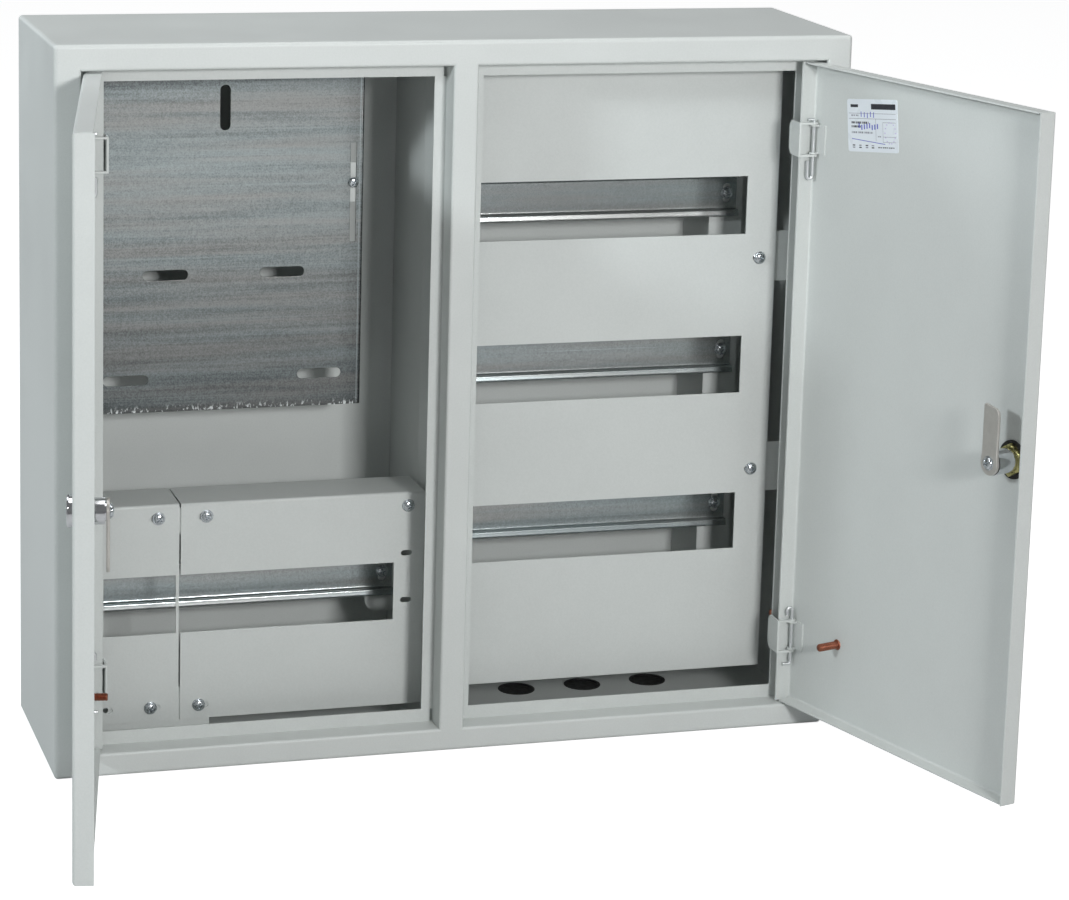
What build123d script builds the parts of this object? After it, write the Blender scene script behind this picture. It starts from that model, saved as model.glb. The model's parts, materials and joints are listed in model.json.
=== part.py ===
from build123d import *
import os

# Two-door meter and distribution cabinet for a wall, in millimetres.
# Frame: +X right, +Y into the wall, +Z up. The origin is the centre of the four wall holes on the
# back face, so the front is at -depth and both doors stand open, as the cabinet is stored.

# ---------------------------------------------------------------- cabinet
width = 600.0
height = 540.0
depth = 165.0
sheet = 1.2                  # body, door and cover sheet
corner_bend = 3.0            # outer bends of the body
side_margin = 19.5           # front strip beside a door opening
top_margin = 19.0
bottom_margin = 17.5
mullion_width = 19.0
recess_depth = 20.0          # from the front face to the ledge behind a door
recess_bend = 2.0            # bend from the front face into the recess
hinge_ledge = 17.5           # ledge on a hinge side
edge_ledge = 10.0            # ledge above and below
mullion_ledge = 9.0
relief = 2.2                 # bend relief in the ledge corners
wall_hole_r = 4.25
wall_hole_edge = 40.0        # wall holes from the outer sides

# partition between the two compartments
partition_x = -9.0           # its flat rear part
partition_knee = 79.0        # depth at which it turns towards the mullion
partition_front = 30.0       # depth of its free front edge

# cable entries in the floor
entry_r = 13.75
entry_pitch = 55.0
entry_count = 3
entry_from_back = 39.5
entry_offset = 6.0           # row centre past the middle of its half
plug_rim = 0.9
plug_rim_height = 0.4

# ---------------------------------------------------------------- doors
door_lock_gap = 1.0
door_hinge_gap = 1.5
door_end_gap = 1.5
door_flange = 14.3
door_end_flange = 13.0
door_bend = 2.5
door_notch = 2.6
pin_inset = 5.4              # pin axis from the door's hinge edge
pin_depth = 5.0              # pin axis behind the door's face
pin_r = 1.25
pin_play = 0.05
right_open = 106.0           # degrees from closed at rest
left_open = 101.0

# hinge halves
hinge_from_top = 79.0        # hinge centres from the cabinet's ends
hinge_from_bottom = 71.5
hinge_height = 26.0
hinge_sheet = 1.5
hinge_web_clear = 0.45       # between the turning flange's tip and the fixed half's web
hinge_ear_r = 3.0
hinge_arm_front = 3.3
hinge_foot = 11.0
leaf_play = 0.3
leaf_sheet = 1.2
leaf_reach = 10.2
wire_bend = 1.9
wire_leg_bend = 1.4
hairpin_gap = 4.0

# locks
lock_inset = 23.0
lock_drop = 2.0              # below the cabinet's middle
bezel_r = 11.0
bezel_height = 4.0
barrel_r = 9.0
barrel_length = 20.6
core_r = 6.5
core_head_r = 7.5
core_head = 1.0
washer_r = 14.0
washer_thick = 1.2
nut_across = 25.0
nut_thick = 4.0
cam_start = 21.6
cam_thick = 2.2
cam_width = 16.0
cam_reach = 42.0
cam_square = 7.0
cam_screw_r = 2.0
cam_screw_head_r = 5.2
cam_screw_head = 2.6
running = 0.05               # radial clearance of turning pieces
loose = 0.1                  # clearance of pieces that are only assembled

# earthing studs and label
stud_r = 3.0
stud_length = 18.0
stud_weld_r = 4.2
stud_weld = 0.6
door_stud_along = 57.9       # from the door's hinge edge
door_stud_from_bottom = 78.0
frame_stud_depth = 40.0
frame_stud_from_bottom = 79.0
frame_stud_length = 30.0
label_along = 41.0
label_width = 59.0
label_height = 39.0
label_from_top = 59.5
label_thick = 0.2

# ---------------------------------------------------------------- right compartment
cover_depth = 51.3           # front face of every cover
cover_left = 8.0             # from the mullion's middle
cover_from_side = 35.0
cover_from_top = 10.0
cover_from_bottom = 33.5
window_height = 45.0         # for the fronts of modular devices
window_from_left = 14.0      # window edges from the cover's edges
window_from_right = 25.0
window_pitch = 125.0
window_from_top = 137.0      # centre of the top window
window_rows = 3
cover_screw_edge = 13.0
cover_screw_drops = (41.5, 209.0)   # below the top window's centre
cover_slot_length = 8.0
cover_slot_offset = 1.5      # screw from the middle of its slot
bracket_height = 39.0
bracket_lap = 20.0
bracket_flange = 26.0
catch_lip = 9.0

# 35 mm top-hat rail
rail_width = 35.0
rail_hat = 27.0
rail_depth = 7.5
rail_sheet = 1.0
rail_front = 98.0            # depth of its lips
rail_past_window = 11.0
rail_slot_from_end = 8.0
rail_slot_width = 5.5
rail_slot_length = 13.0
rail_slot_rise = 3.5         # slot centre above the screw
post_width = 27.0
post_past_rows = (63.0, 67.0)       # below the last rail and above the first
post_from_floor = 10.0

# ---------------------------------------------------------------- left compartment
lower_height = 167.5
lower_from_bottom = 22.0
lower_return = 46.0
lower_bend = 2.0
lower_window_from_bottom = 112.2    # centre of the lower window
split_from_side = 101.8      # gap between the two lower covers
split_gap = 1.2
incoming_from_side = 3.0
incoming_window_from_side = 44.5
incoming_window_edge = 3.0   # window edge from the split
row_right = -10.5            # from the mullion's middle
row_window_right = -33.8
row_slot_x = -24.0
row_slot_rises = (29.6, -7.4)       # above the lower window's centre
row_slot_length = 8.6
row_slot_width = 4.2
support_height = 20.0
support_flange = 22.0
foot_reach = (63.8, 23.2)    # foot's ends each side of the split
foot_height = 46.0
lower_rail_from_side = 31.9
lower_rail_right = -21.1     # from the mullion's middle
screw_from_top = 10.5        # lower covers' screws from their ends
screw_from_end = 10.5
incoming_screw_edges = (16.2, 21.7)  # upper and lower screw from the split
row_screw_edges = (20.0, 14.9)
row_end_screw_x = -23.3
screw_offset = 2.5           # screw from the middle of its slot
spare_slot_edge = 55.3
lower_pad_width = 26.0
lower_pad_height = 46.0
lower_pad_round = 10.0

# meter plate
plate_depth = 100.0
plate_sheet = 1.0
plate_from_side = 36.8
plate_from_partition = 41.2
plate_from_top = 16.0
plate_height = 276.0
plate_flange = 9.0
plate_bend = 2.0
meter_slot_length = 34.0
meter_slot_width = 7.5
meter_top_drop = 46.0        # slots below the plate's top
meter_upper_drop = 171.5
meter_lower_drop = 251.0
meter_upper_edge = 62.1      # slot centres from the plate's sides
meter_lower_edge = 32.5
side_slot_edge = 8.1
side_slot_drops = (74.5, 150.0)
side_slot_width = 4.4
side_screw_drop = 104.5
standoff_height = 30.0
standoff_pad = 14.0
standoff_foot = 13.0
slide_play = 0.1

# cover and rail screws, M4 pan head with a cross recess
screw_r = 1.95
screw_hole_r = 2.0
screw_head_r = 3.9
screw_head = 2.6
screw_length = 8.0
screw_washer_r = 4.9
screw_washer = 0.8
slot_width = 4.4
slot_length = 10.0

# ---------------------------------------------------------------- derived values
half_w = width / 2
half_h = height / 2
front = -depth
inner_w = half_w - sheet
floor_z = -half_h + sheet
ceiling_z = half_h - sheet
panel_y = -sheet                                   # front of the back panel
open_outer = half_w - side_margin
open_inner = mullion_width / 2
open_top = half_h - top_margin
open_bottom = -half_h + bottom_margin
ledge_y = front + recess_depth
cover_y = front + cover_depth
behind_cover = cover_y + sheet
rail_y = front + rail_front
rail_back = rail_y + rail_depth
plate_y = front + plate_depth
wall_hole_x = half_w - wall_hole_edge
wall_hole_z = half_h - wall_hole_edge
entry_y = -entry_from_back
entry_x = half_w / 2 - entry_offset
door_width = open_outer - open_inner - door_lock_gap - door_hinge_gap
door_bottom = open_bottom + door_end_gap
door_top = open_top - door_end_gap
pin_x = open_outer - door_hinge_gap - pin_inset
pin_y = front + pin_depth
hinge_upper_z = half_h - hinge_from_top
hinge_lower_z = -half_h + hinge_from_bottom
hinge_web_gap = ((door_flange - pin_depth) ** 2 + pin_inset ** 2) ** 0.5 + hinge_web_clear

cover_right = half_w - cover_from_side
cover_top = half_h - cover_from_top
cover_bottom = -half_h + cover_from_bottom
window_left = cover_left + window_from_left
window_right = cover_right - window_from_right
window_zs = [half_h - window_from_top - window_pitch * row for row in range(window_rows)]
cover_screw_x = cover_right - cover_screw_edge
cover_screw_z = [window_zs[0] - drop for drop in cover_screw_drops]
rail_x = (window_left + window_right) / 2
rail_length = window_right - window_left + 2 * rail_past_window
post_bottom = max(window_zs[-1] - post_past_rows[0], floor_z + post_from_floor)
post_top = window_zs[0] + post_past_rows[1]

lower_bottom = -half_h + lower_from_bottom
lower_top = lower_bottom + lower_height
lower_window_z = -half_h + lower_window_from_bottom
split_x = -half_w + split_from_side
incoming_left = -half_w + incoming_from_side
incoming_window_left = -half_w + incoming_window_from_side
incoming_window_right = split_x - incoming_window_edge
lower_rail_length = lower_rail_right + half_w - lower_rail_from_side
lower_rail_x = lower_rail_right - lower_rail_length / 2
upper_z = lower_top - screw_from_top
lower_z = lower_bottom + screw_from_end
# each screw of a lower cover: X, Z, and how far its slot's middle is from it
incoming_screws = [(split_x - incoming_screw_edges[0], upper_z, -screw_offset),
                   (split_x - incoming_screw_edges[1], lower_z, screw_offset)]
row_screws = [(split_x + row_screw_edges[0], upper_z, -screw_offset),
              (split_x + row_screw_edges[1], lower_z, screw_offset), (row_end_screw_x, upper_z, 0.0)]
spare_slot = (split_x - spare_slot_edge, lower_z, 0.0)

plate_left = -half_w + plate_from_side
plate_right = partition_x - plate_from_partition
plate_width = plate_right - plate_left
plate_x = (plate_left + plate_right) / 2
plate_top = half_h - plate_from_top
plate_bottom = plate_top - plate_height
side_slot_x = plate_width / 2 - side_slot_edge
side_screw_z = plate_top - side_screw_drop


# ---------------------------------------------------------------- helpers
def span(x0, x1, y0, y1, z0, z1):
    """A box between two corners."""
    return Pos((x0 + x1) / 2, (y0 + y1) / 2, (z0 + z1) / 2) * Box(x1 - x0, y1 - y0, z1 - z0)


def rod(x, y, z, direction, radius, length):
    """A round bar that starts at a point and runs along a direction."""
    base = (Align.CENTER, Align.CENTER, Align.MIN)
    return Plane(origin=(x, y, z), z_dir=direction) * Cylinder(radius, length, align=base)


def tube(radius, z0, z1, bore=0.0):
    """An upright bar or ring about the Z axis."""
    base = (Align.CENTER, Align.CENTER, Align.MIN)
    ring = Cylinder(radius, z1 - z0, align=base)
    if bore:
        ring -= Cylinder(bore, z1 - z0, align=base)
    return Pos(0, 0, z0) * ring


def slot_cut(x, z, length, slot_w, y0, y1, upright=False):
    """A round-ended slot through a sheet that faces the front."""
    turn = 90 if upright else 0
    outline = Plane(origin=(x, y0, z), x_dir=(1, 0, 0), z_dir=(0, 1, 0)) * Rot(0, 0, turn)
    return extrude(outline * SlotOverall(length, slot_w), y1 - y0)


def hole_cut(x, z, radius, y0, y1):
    return rod(x, y0, z, (0, 1, 0), radius, y1 - y0)


def upright_prism(points, z0, z1):
    """A plan outline in X and Y, raised from z0 to z1."""
    face = make_face(Polyline(*points, close=True))
    return Pos(0, 0, z0) * extrude(face, z1 - z0)


def save(name, *pieces):
    """Write the separate solids of one node."""
    solids = [solid for piece in pieces for solid in piece.solids()]
    shape = solids[0] if len(solids) == 1 else Compound(solids)
    export_step(shape, f"parts/{name}.step")


def pan_screw(x, y, z, length=screw_length, washer=True):
    """A pan-head screw driven along +Y, its seat at y, and its washer."""
    seat = -screw_washer if washer else 0.0
    head = tube(screw_head_r, seat - screw_head, seat)
    head = fillet(head.edges().group_by(Axis.Z)[0], screw_head * 0.7)
    shank = tube(screw_r, seat, length)
    cross = Box(screw_head_r, 0.9, 1.6) + Box(0.9, screw_head_r, 1.6)
    screw = head + shank - Pos(0, 0, seat - screw_head) * cross
    turn = Pos(x, y, z) * Rot(-90, 0, 0)
    if not washer:
        return [turn * screw]
    return [turn * screw, turn * tube(screw_washer_r, -screw_washer, 0, bore=screw_r + running)]


def stud(x, y, z, direction, length):
    """A copper-plated weld stud with its weld collar."""
    bar = rod(x, y, z, direction, stud_r, length)
    tip = (bar.edges().sort_by(Axis(origin=(x, y, z), direction=direction))[-1])
    return chamfer(tip, 0.6) + rod(x, y, z, direction, stud_weld_r, stud_weld)


# ---------------------------------------------------------------- body
def body_sheet():
    """Four walls and the front in bent sheet, with both door recesses."""
    outer = span(-half_w, half_w, front, 0, -half_h, half_h)
    outer = fillet(outer.edges().filter_by(Axis.Y) + outer.faces().sort_by(Axis.Y)[0].edges(), corner_bend)
    inner = span(-inner_w, inner_w, front + sheet, corner_bend, floor_z, ceiling_z)
    inner = fillet(inner.edges().filter_by(Axis.Y) + inner.faces().sort_by(Axis.Y)[0].edges(),
                   corner_bend - sheet)
    body = outer - inner
    for side in (-1, 1):
        hinge, meet = side * open_outer, side * open_inner
        x0, x1 = min(hinge, meet), max(hinge, meet)
        ledge0 = hinge_ledge if side < 0 else mullion_ledge
        ledge1 = mullion_ledge if side < 0 else hinge_ledge
        cup = span(x0 - sheet, x1 + sheet, front + sheet / 2, ledge_y + sheet,
                   open_bottom - sheet, open_top + sheet)
        body += cup
        body -= span(x0, x1, front - 1, ledge_y, open_bottom, open_top)
        body -= span(x0 + ledge0, x1 - ledge1, ledge_y - 1, ledge_y + sheet + 1,
                     open_bottom + edge_ledge, open_top - edge_ledge)
        rim = [e for e in body.edges().filter_by_position(Axis.Y, front - 0.01, front + 0.01)
               if x0 - 0.1 < e.center().X < x1 + 0.1
               and open_bottom - 0.1 < e.center().Z < open_top + 0.1]
        body = fillet(rim, recess_bend)
        for x in (x0, x1 - relief):
            for z in (open_bottom, open_top - edge_ledge):
                body -= span(x, x + relief, ledge_y - 0.01, ledge_y + sheet + 1, z, z + edge_ledge)
    for x in entry_xs():
        body -= rod(x, entry_y, -half_h - 1, (0, 0, 1), entry_r, sheet + 2)
    return body


def entry_xs():
    middle = (entry_count - 1) / 2
    return [x + (i - middle) * entry_pitch for x in (-entry_x, entry_x) for i in range(entry_count)]


def body_nodes():
    """The body's bent sheet, parted at its welded mitres."""
    body = body_sheet()
    mullion_zone = span(-open_inner - mullion_ledge, open_inner + mullion_ledge, front - 1,
                        ledge_y + sheet + 0.01, open_bottom, open_top)
    save("mullion", body & mullion_zone)
    walls = body - mullion_zone
    k = min(half_w, half_h)
    top_left, top_right = (-half_w, half_h), (half_w, half_h)
    low_left, low_right = (-half_w, -half_h), (half_w, -half_h)
    in_left, in_right, in_top, in_low = -half_w + k, half_w - k, half_h - k, -half_h + k
    wedges = {
        "shell_left": [low_left, top_left, (in_left, in_top), (in_left, in_low)],
        "shell_right": [top_right, low_right, (in_right, in_low), (in_right, in_top)],
        "shell_top": [top_left, top_right, (in_right, in_top), (in_left, in_top)],
        "shell_bottom": [low_right, low_left, (in_left, in_low), (in_right, in_low)],
    }
    for name, corners in wedges.items():
        corners = list(dict.fromkeys(corners))     # two corners meet where the mitres reach the middle
        face = make_face(Polyline(*[(x, 0, z) for x, z in corners], close=True))
        wedge = extrude(face, depth + 2, dir=(0, -1, 0))
        save(name, walls & (Pos(0, 1, 0) * wedge))


def back_panel():
    panel = span(-inner_w, inner_w, panel_y, 0, floor_z, ceiling_z)
    panel = fillet(panel.edges().filter_by(Axis.Y), corner_bend - sheet)
    for x in (-wall_hole_x, wall_hole_x):
        for z in (-wall_hole_z, wall_hole_z):
            panel -= hole_cut(x, z, wall_hole_r, panel_y - 1, 1)
    return panel


def partition():
    """Sheet between the compartments: flat at the back, turned to the mullion in front."""
    knee = front + partition_knee
    nose = front + partition_front
    points = [(partition_x, panel_y), (partition_x + sheet, panel_y), (partition_x + sheet, knee),
              (sheet / 2, nose), (-sheet / 2, nose), (partition_x, knee)]
    return upright_prism(points, floor_z, ceiling_z)


def partition_at(y):
    """X of the partition's right face at a place along Y."""
    knee = front + partition_knee
    nose = front + partition_front
    if y >= knee:
        return partition_x + sheet
    share = (knee - y) / (knee - nose)
    return partition_x + sheet + share * (-partition_x - sheet / 2)


def entry_plugs():
    plugs = []
    for x in entry_xs():
        y = entry_y
        plug = rod(x, y, -half_h + 0.2, (0, 0, 1), entry_r - running, sheet - 0.2)
        plug += rod(x, y, floor_z, (0, 0, 1), entry_r + plug_rim, plug_rim_height)
        plug -= rod(x, y, -half_h + sheet / 2, (0, 0, 1), entry_r - 1.2, sheet)
        plugs.append(plug)
    return plugs


# ---------------------------------------------------------------- right compartment
def distribution_cover():
    cover = span(cover_left, cover_right, cover_y, behind_cover, cover_bottom, cover_top)
    for z in window_zs:
        cover -= span(window_left, window_right, cover_y - 1, behind_cover + 1,
                      z - window_height / 2, z + window_height / 2)
    for z in cover_screw_z:
        cover -= slot_cut(cover_screw_x - cover_slot_offset, z, cover_slot_length, slot_width,
                          cover_y - 1, behind_cover + 1)
    return cover


def cover_brackets():
    """Angles on the right wall that the cover is screwed to."""
    angles = []
    for z in cover_screw_z:
        z0, z1 = z - bracket_height / 2 + 1, z + bracket_height / 2 + 1
        angle = span(cover_right - bracket_lap, inner_w, behind_cover, behind_cover + sheet, z0, z1)
        angle += span(inner_w - sheet, inner_w, behind_cover + sheet, behind_cover + bracket_flange, z0, z1)
        angles.append(angle - hole_cut(cover_screw_x, z, screw_hole_r, behind_cover - 1, behind_cover + 3))
    return angles


def cover_catches():
    """Folded clips on the partition that hold the cover's left edge."""
    clips = []
    wall = partition_at(behind_cover + sheet) + sheet * 1.5
    for z in cover_screw_z:
        z0, z1 = z - bracket_height / 2, z + bracket_height / 2
        clip = span(wall, cover_left + catch_lip, behind_cover, behind_cover + sheet, z0, z1)
        clip += span(wall, cover_left - 0.5, cover_y, behind_cover, z0, z1)
        clip += span(wall, cover_left + catch_lip / 2, cover_y - sheet, cover_y, z0, z1)
        foot_end = behind_cover + 18
        clip += upright_prism([(wall, behind_cover), (wall + sheet, behind_cover),
                               (partition_at(foot_end) + sheet, foot_end),
                               (partition_at(foot_end), foot_end)], z0, z1)
        clips.append(clip)
    return clips


def rail_profile():
    """Section of a 35 mm top-hat rail in Y and Z, lips to the front."""
    lip, hat, t = rail_width / 2, rail_hat / 2, rail_sheet
    outline = [(0, lip), (0, hat - t), (rail_depth - t, hat - t), (rail_depth - t, -hat + t), (0, -hat + t),
               (0, -lip), (t, -lip), (t, -hat), (rail_depth, -hat), (rail_depth, hat), (t, hat), (t, lip)]
    face = make_face(Polyline(*outline, close=True))
    bends = [v for v in face.vertices() if abs(v.Y) < lip - 0.1]
    outer = [v for v in bends if abs(abs(v.Y) - hat) < 0.01 and v.X > 2 * t
             or abs(abs(v.Y) - hat + t) < 0.01 and v.X < t]
    face = fillet(outer, 0.9)
    return face


def rail(x0, x1, z):
    """A rail between two ends, slotted for a screw near each."""
    plane = Plane(origin=(x0, rail_y, z), x_dir=(0, 1, 0), z_dir=(1, 0, 0))
    bar = extrude(plane * rail_profile(), x1 - x0)
    for x in (x0 + rail_slot_from_end, x1 - rail_slot_from_end):
        bar -= slot_cut(x, z + rail_slot_rise, rail_slot_length, rail_slot_width,
                        rail_back - 2 * rail_sheet, rail_back + 1, upright=True)
    return bar


def rail_ends(centre, length):
    return centre - length / 2, centre + length / 2


def screw_xs(centre, length):
    x0, x1 = rail_ends(centre, length)
    return x0 + rail_slot_from_end, x1 - rail_slot_from_end


def rail_post(x):
    """A channel on the back panel, screwed through each rail."""
    post = span(x - post_width / 2, x + post_width / 2, rail_back, panel_y, post_bottom, post_top)
    post -= span(x - post_width / 2 + sheet, x + post_width / 2 - sheet, rail_back + sheet, panel_y + 1,
                 post_bottom - 1, post_top + 1)
    for z in window_zs:
        post -= hole_cut(x, z, screw_hole_r, rail_back - 1, rail_back + 3)
    return post


def rail_screws():
    screws = []
    seat = rail_back - rail_sheet
    for x in screw_xs(rail_x, rail_length):
        for z in window_zs:
            screws += pan_screw(x, seat, z)
    for x in screw_xs(lower_rail_x, lower_rail_length):
        screws += pan_screw(x, seat, lower_window_z)
    return screws


# ---------------------------------------------------------------- left compartment
def bent_cover(x0, x1):
    """A lower cover: front sheet with a return along its top."""
    back = cover_y + lower_return
    sheet_part = span(x0, x1, cover_y, back, lower_bottom, lower_top)
    bend = [e for e in sheet_part.edges().filter_by(Axis.X)
            if abs(e.center().Y - cover_y) < 0.1 and abs(e.center().Z - lower_top) < 0.1]
    sheet_part = fillet(bend, lower_bend)
    hollow = span(x0 - 1, x1 + 1, behind_cover, back + 1, lower_bottom - 1, lower_top - sheet)
    edge = [e for e in hollow.edges().filter_by(Axis.X)
            if abs(e.center().Y - behind_cover) < 0.1 and abs(e.center().Z - lower_top + sheet) < 0.1]
    return sheet_part - fillet(edge, lower_bend - sheet)


def screw_slot(x, z, offset):
    return slot_cut(x + offset, z, slot_length, slot_width, cover_y - 1, behind_cover + 1)


def incoming_cover():
    cover = bent_cover(incoming_left, split_x - split_gap / 2)
    cover -= span(incoming_window_left, incoming_window_right, cover_y - 1, behind_cover + 1,
                  lower_window_z - window_height / 2, lower_window_z + window_height / 2)
    for x, z, offset in incoming_screws + [spare_slot]:
        cover -= screw_slot(x, z, offset)
    return cover


def row_cover():
    start = split_x + split_gap / 2
    cover = bent_cover(start, row_right)
    cover -= span(start - 1, row_window_right, cover_y - 1, behind_cover + 1,
                  lower_window_z - window_height / 2, lower_window_z + window_height / 2)
    for x, z, offset in row_screws:
        cover -= screw_slot(x, z, offset)
    for rise in row_slot_rises:
        cover -= slot_cut(row_slot_x, lower_window_z + rise, row_slot_length, row_slot_width,
                          cover_y - 1, behind_cover + 1)
    return cover


def cover_support_upper():
    """Angle behind the top screws of both lower covers."""
    z1 = lower_top - sheet - lower_bend
    right = row_right + 0.5
    angle = span(-inner_w, right, behind_cover, behind_cover + sheet, z1 - support_height, z1)
    angle += span(-inner_w, right, behind_cover, behind_cover + support_flange, z1 - sheet, z1)
    for x, z, _ in incoming_screws + row_screws:
        angle -= hole_cut(x, z, screw_hole_r, behind_cover - 1, behind_cover + 3)
    return angle


def cover_support_lower():
    """Angle on the floor behind the bottom screws."""
    x0, x1 = split_x - foot_reach[0], split_x + foot_reach[1]
    angle = span(x0, x1, behind_cover, behind_cover + sheet, floor_z, floor_z + foot_height)
    angle += span(x0, x1, behind_cover, behind_cover + support_flange, floor_z, floor_z + sheet)
    for x, z, _ in incoming_screws + row_screws + [spare_slot]:
        angle -= hole_cut(x, z, screw_hole_r, behind_cover - 1, behind_cover + 3)
    return angle


def cover_screws():
    screws = []
    for x, z, _ in incoming_screws + row_screws:
        screws += pan_screw(x, cover_y, z)
    for z in cover_screw_z:
        screws += pan_screw(cover_screw_x, cover_y, z)
    return screws


def lower_rail_brackets():
    """Standoffs for the lower rail, with rounded pads."""
    brackets = []
    for x, side in zip(screw_xs(lower_rail_x, lower_rail_length), (-1, 1)):
        z0 = lower_window_z - lower_pad_height + rail_hat / 2
        pad = span(x - lower_pad_width / 2, x + lower_pad_width / 2, rail_back, rail_back + sheet,
                   z0, z0 + lower_pad_height)
        low = pad.edges().filter_by(Axis.Y).group_by(Axis.Z)[0]
        pad = fillet(low, lower_pad_round)
        web_x = x + side * (lower_pad_width / 2 - sheet / 2)
        web_z0 = z0 + lower_pad_round
        pad += span(web_x - sheet / 2, web_x + sheet / 2, rail_back, panel_y, web_z0, z0 + lower_pad_height)
        foot = sorted((web_x, web_x - side * standoff_foot))
        pad += span(foot[0], foot[1], panel_y - sheet, panel_y, web_z0, z0 + lower_pad_height)
        pad -= hole_cut(x, lower_window_z, screw_hole_r, rail_back - 1, rail_back + 3)
        brackets.append(pad)
    return brackets


def meter_plate():
    """Slotted plate that carries the meter, with flanges bent back at its sides."""
    x0, x1 = plate_x - plate_width / 2, plate_x + plate_width / 2
    plate = span(x0, x1, plate_y, plate_y + plate_flange, plate_bottom, plate_top)
    plate = fillet(plate.edges().filter_by(Axis.Z).group_by(Axis.Y)[0], plate_bend)
    hollow = span(x0 + plate_sheet, x1 - plate_sheet, plate_y + plate_sheet, plate_y + plate_flange + 1,
                  plate_bottom - 1, plate_top + 1)
    plate -= fillet(hollow.edges().filter_by(Axis.Z).group_by(Axis.Y)[0], plate_bend - plate_sheet)
    y0, y1 = plate_y - 1, plate_y + plate_sheet + 1
    plate -= slot_cut(plate_x, plate_top - meter_top_drop, meter_slot_length, meter_slot_width, y0, y1,
                      upright=True)
    for drop, edge in ((meter_upper_drop, meter_upper_edge), (meter_lower_drop, meter_lower_edge)):
        for x in (plate_left + edge, plate_right - edge):
            plate -= slot_cut(x, plate_top - drop, meter_slot_length, meter_slot_width, y0, y1)
    for x in (plate_x - side_slot_x, plate_x + side_slot_x):
        plate -= span(x - side_slot_width / 2, x + side_slot_width / 2, y0, y1,
                      plate_top - side_slot_drops[1], plate_top - side_slot_drops[0])
    return plate


def meter_standoffs():
    """Brackets on the back panel that the meter plate slides on."""
    brackets = []
    pad_y = plate_y + plate_sheet + slide_play
    z0, z1 = side_screw_z - standoff_height / 2, side_screw_z + standoff_height / 2
    for side in (-1, 1):
        x = plate_x + side * side_slot_x
        outer, inner = x + side * standoff_pad * 0.4, x - side * standoff_pad * 0.6
        bracket = span(min(outer, inner), max(outer, inner), pad_y, pad_y + sheet, z0, z1)
        web = sorted((inner, inner + side * sheet))
        bracket += span(web[0], web[1], pad_y, panel_y, z0, z1)
        foot = sorted((inner + side * sheet, inner - side * standoff_foot))
        bracket += span(foot[0], foot[1], panel_y - sheet, panel_y, z0, z1)
        brackets.append(bracket - hole_cut(x, side_screw_z, screw_hole_r, pad_y - 1, pad_y + 3))
    return brackets


def meter_plate_screws():
    screws = []
    for side in (-1, 1):
        screws += pan_screw(plate_x + side * side_slot_x, plate_y - slide_play, side_screw_z, washer=False)
    return screws


# ---------------------------------------------------------------- hinges, drawn about the right pin
def place(shape, side, angle=0.0):
    """Move a piece drawn about the right pin to a side, opened by an angle."""
    if side == "left":
        return Pos(-pin_x, pin_y, 0) * Rot(0, 0, -angle) * mirror(shape, about=Plane.YZ)
    return Pos(pin_x, pin_y, 0) * Rot(0, 0, angle) * shape


def hinge_bracket(z):
    """Fixed half: foot behind the ledge, web, and two arms with ears round the pin."""
    z0, z1 = z - hinge_height / 2, z + hinge_height / 2
    behind_ledge = recess_depth + sheet - pin_depth
    web_x0, web_x1 = -hinge_web_gap - hinge_sheet, -hinge_web_gap
    web = span(web_x0, web_x1, -hinge_arm_front, behind_ledge + hinge_sheet, z0, z1)
    rear = [e for e in web.edges().filter_by(Axis.X) if e.center().Y > 0]
    bracket = chamfer(rear, 4.0)
    bracket += span(web_x0, web_x0 + hinge_foot, behind_ledge, behind_ledge + hinge_sheet, z0 + 4, z1 - 4)
    for low in (z0, z1 - hinge_sheet):
        arm = span(web_x0, 0, -hinge_arm_front, 0, low, low + hinge_sheet)
        bracket += arm + tube(hinge_ear_r, low, low + hinge_sheet)
    return bracket - rod(0, 0, z0 - 1, (0, 0, 1), pin_r + pin_play, hinge_height + 2)


def hinge_leaf(z):
    """Moving half: a foot on the door's inner face and two ears inside the fixed arms."""
    half = hinge_height / 2 - hinge_sheet - leaf_play
    skin = -pin_depth + sheet
    leaf = span(-leaf_reach, hinge_ear_r, skin, skin + leaf_sheet, z - half, z + half)
    for low in (z - half, z + half - leaf_sheet):
        ear = span(-hinge_ear_r, hinge_ear_r, skin, 0, low, low + leaf_sheet)
        leaf += ear + tube(hinge_ear_r, low, low + leaf_sheet)
    return leaf - rod(0, 0, z - half - 1, (0, 0, 1), pin_r + pin_play, 2 * half + 2)


def hinge_pin(z, way, hairpin, tail, leg):
    """A bent wire pin: a hairpin past one arm and a bent leg past the other."""
    arm = hinge_height / 2
    loop_end = z + way * (arm + hairpin)
    loop_back = z + way * (arm + 3.5)
    leg_z = z - way * (arm + tail)
    points = [(-hairpin_gap, 0, loop_back), (-hairpin_gap, 0, loop_end), (0, 0, loop_end), (0, 0, leg_z),
              (-leg, 0, leg_z)]
    path = FilletPolyline(*points, radius=[wire_bend, wire_bend, wire_leg_bend])
    start = Plane(origin=points[0], z_dir=(0, 0, way))
    return sweep(start * Circle(pin_r), path=path)


# ---------------------------------------------------------------- doors, drawn closed about the right pin
door_hinge_x = pin_inset
door_free_x = pin_inset - door_width
door_face_y = -pin_depth
door_skin_y = door_face_y + sheet
lock_x = door_free_x + lock_inset


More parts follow.
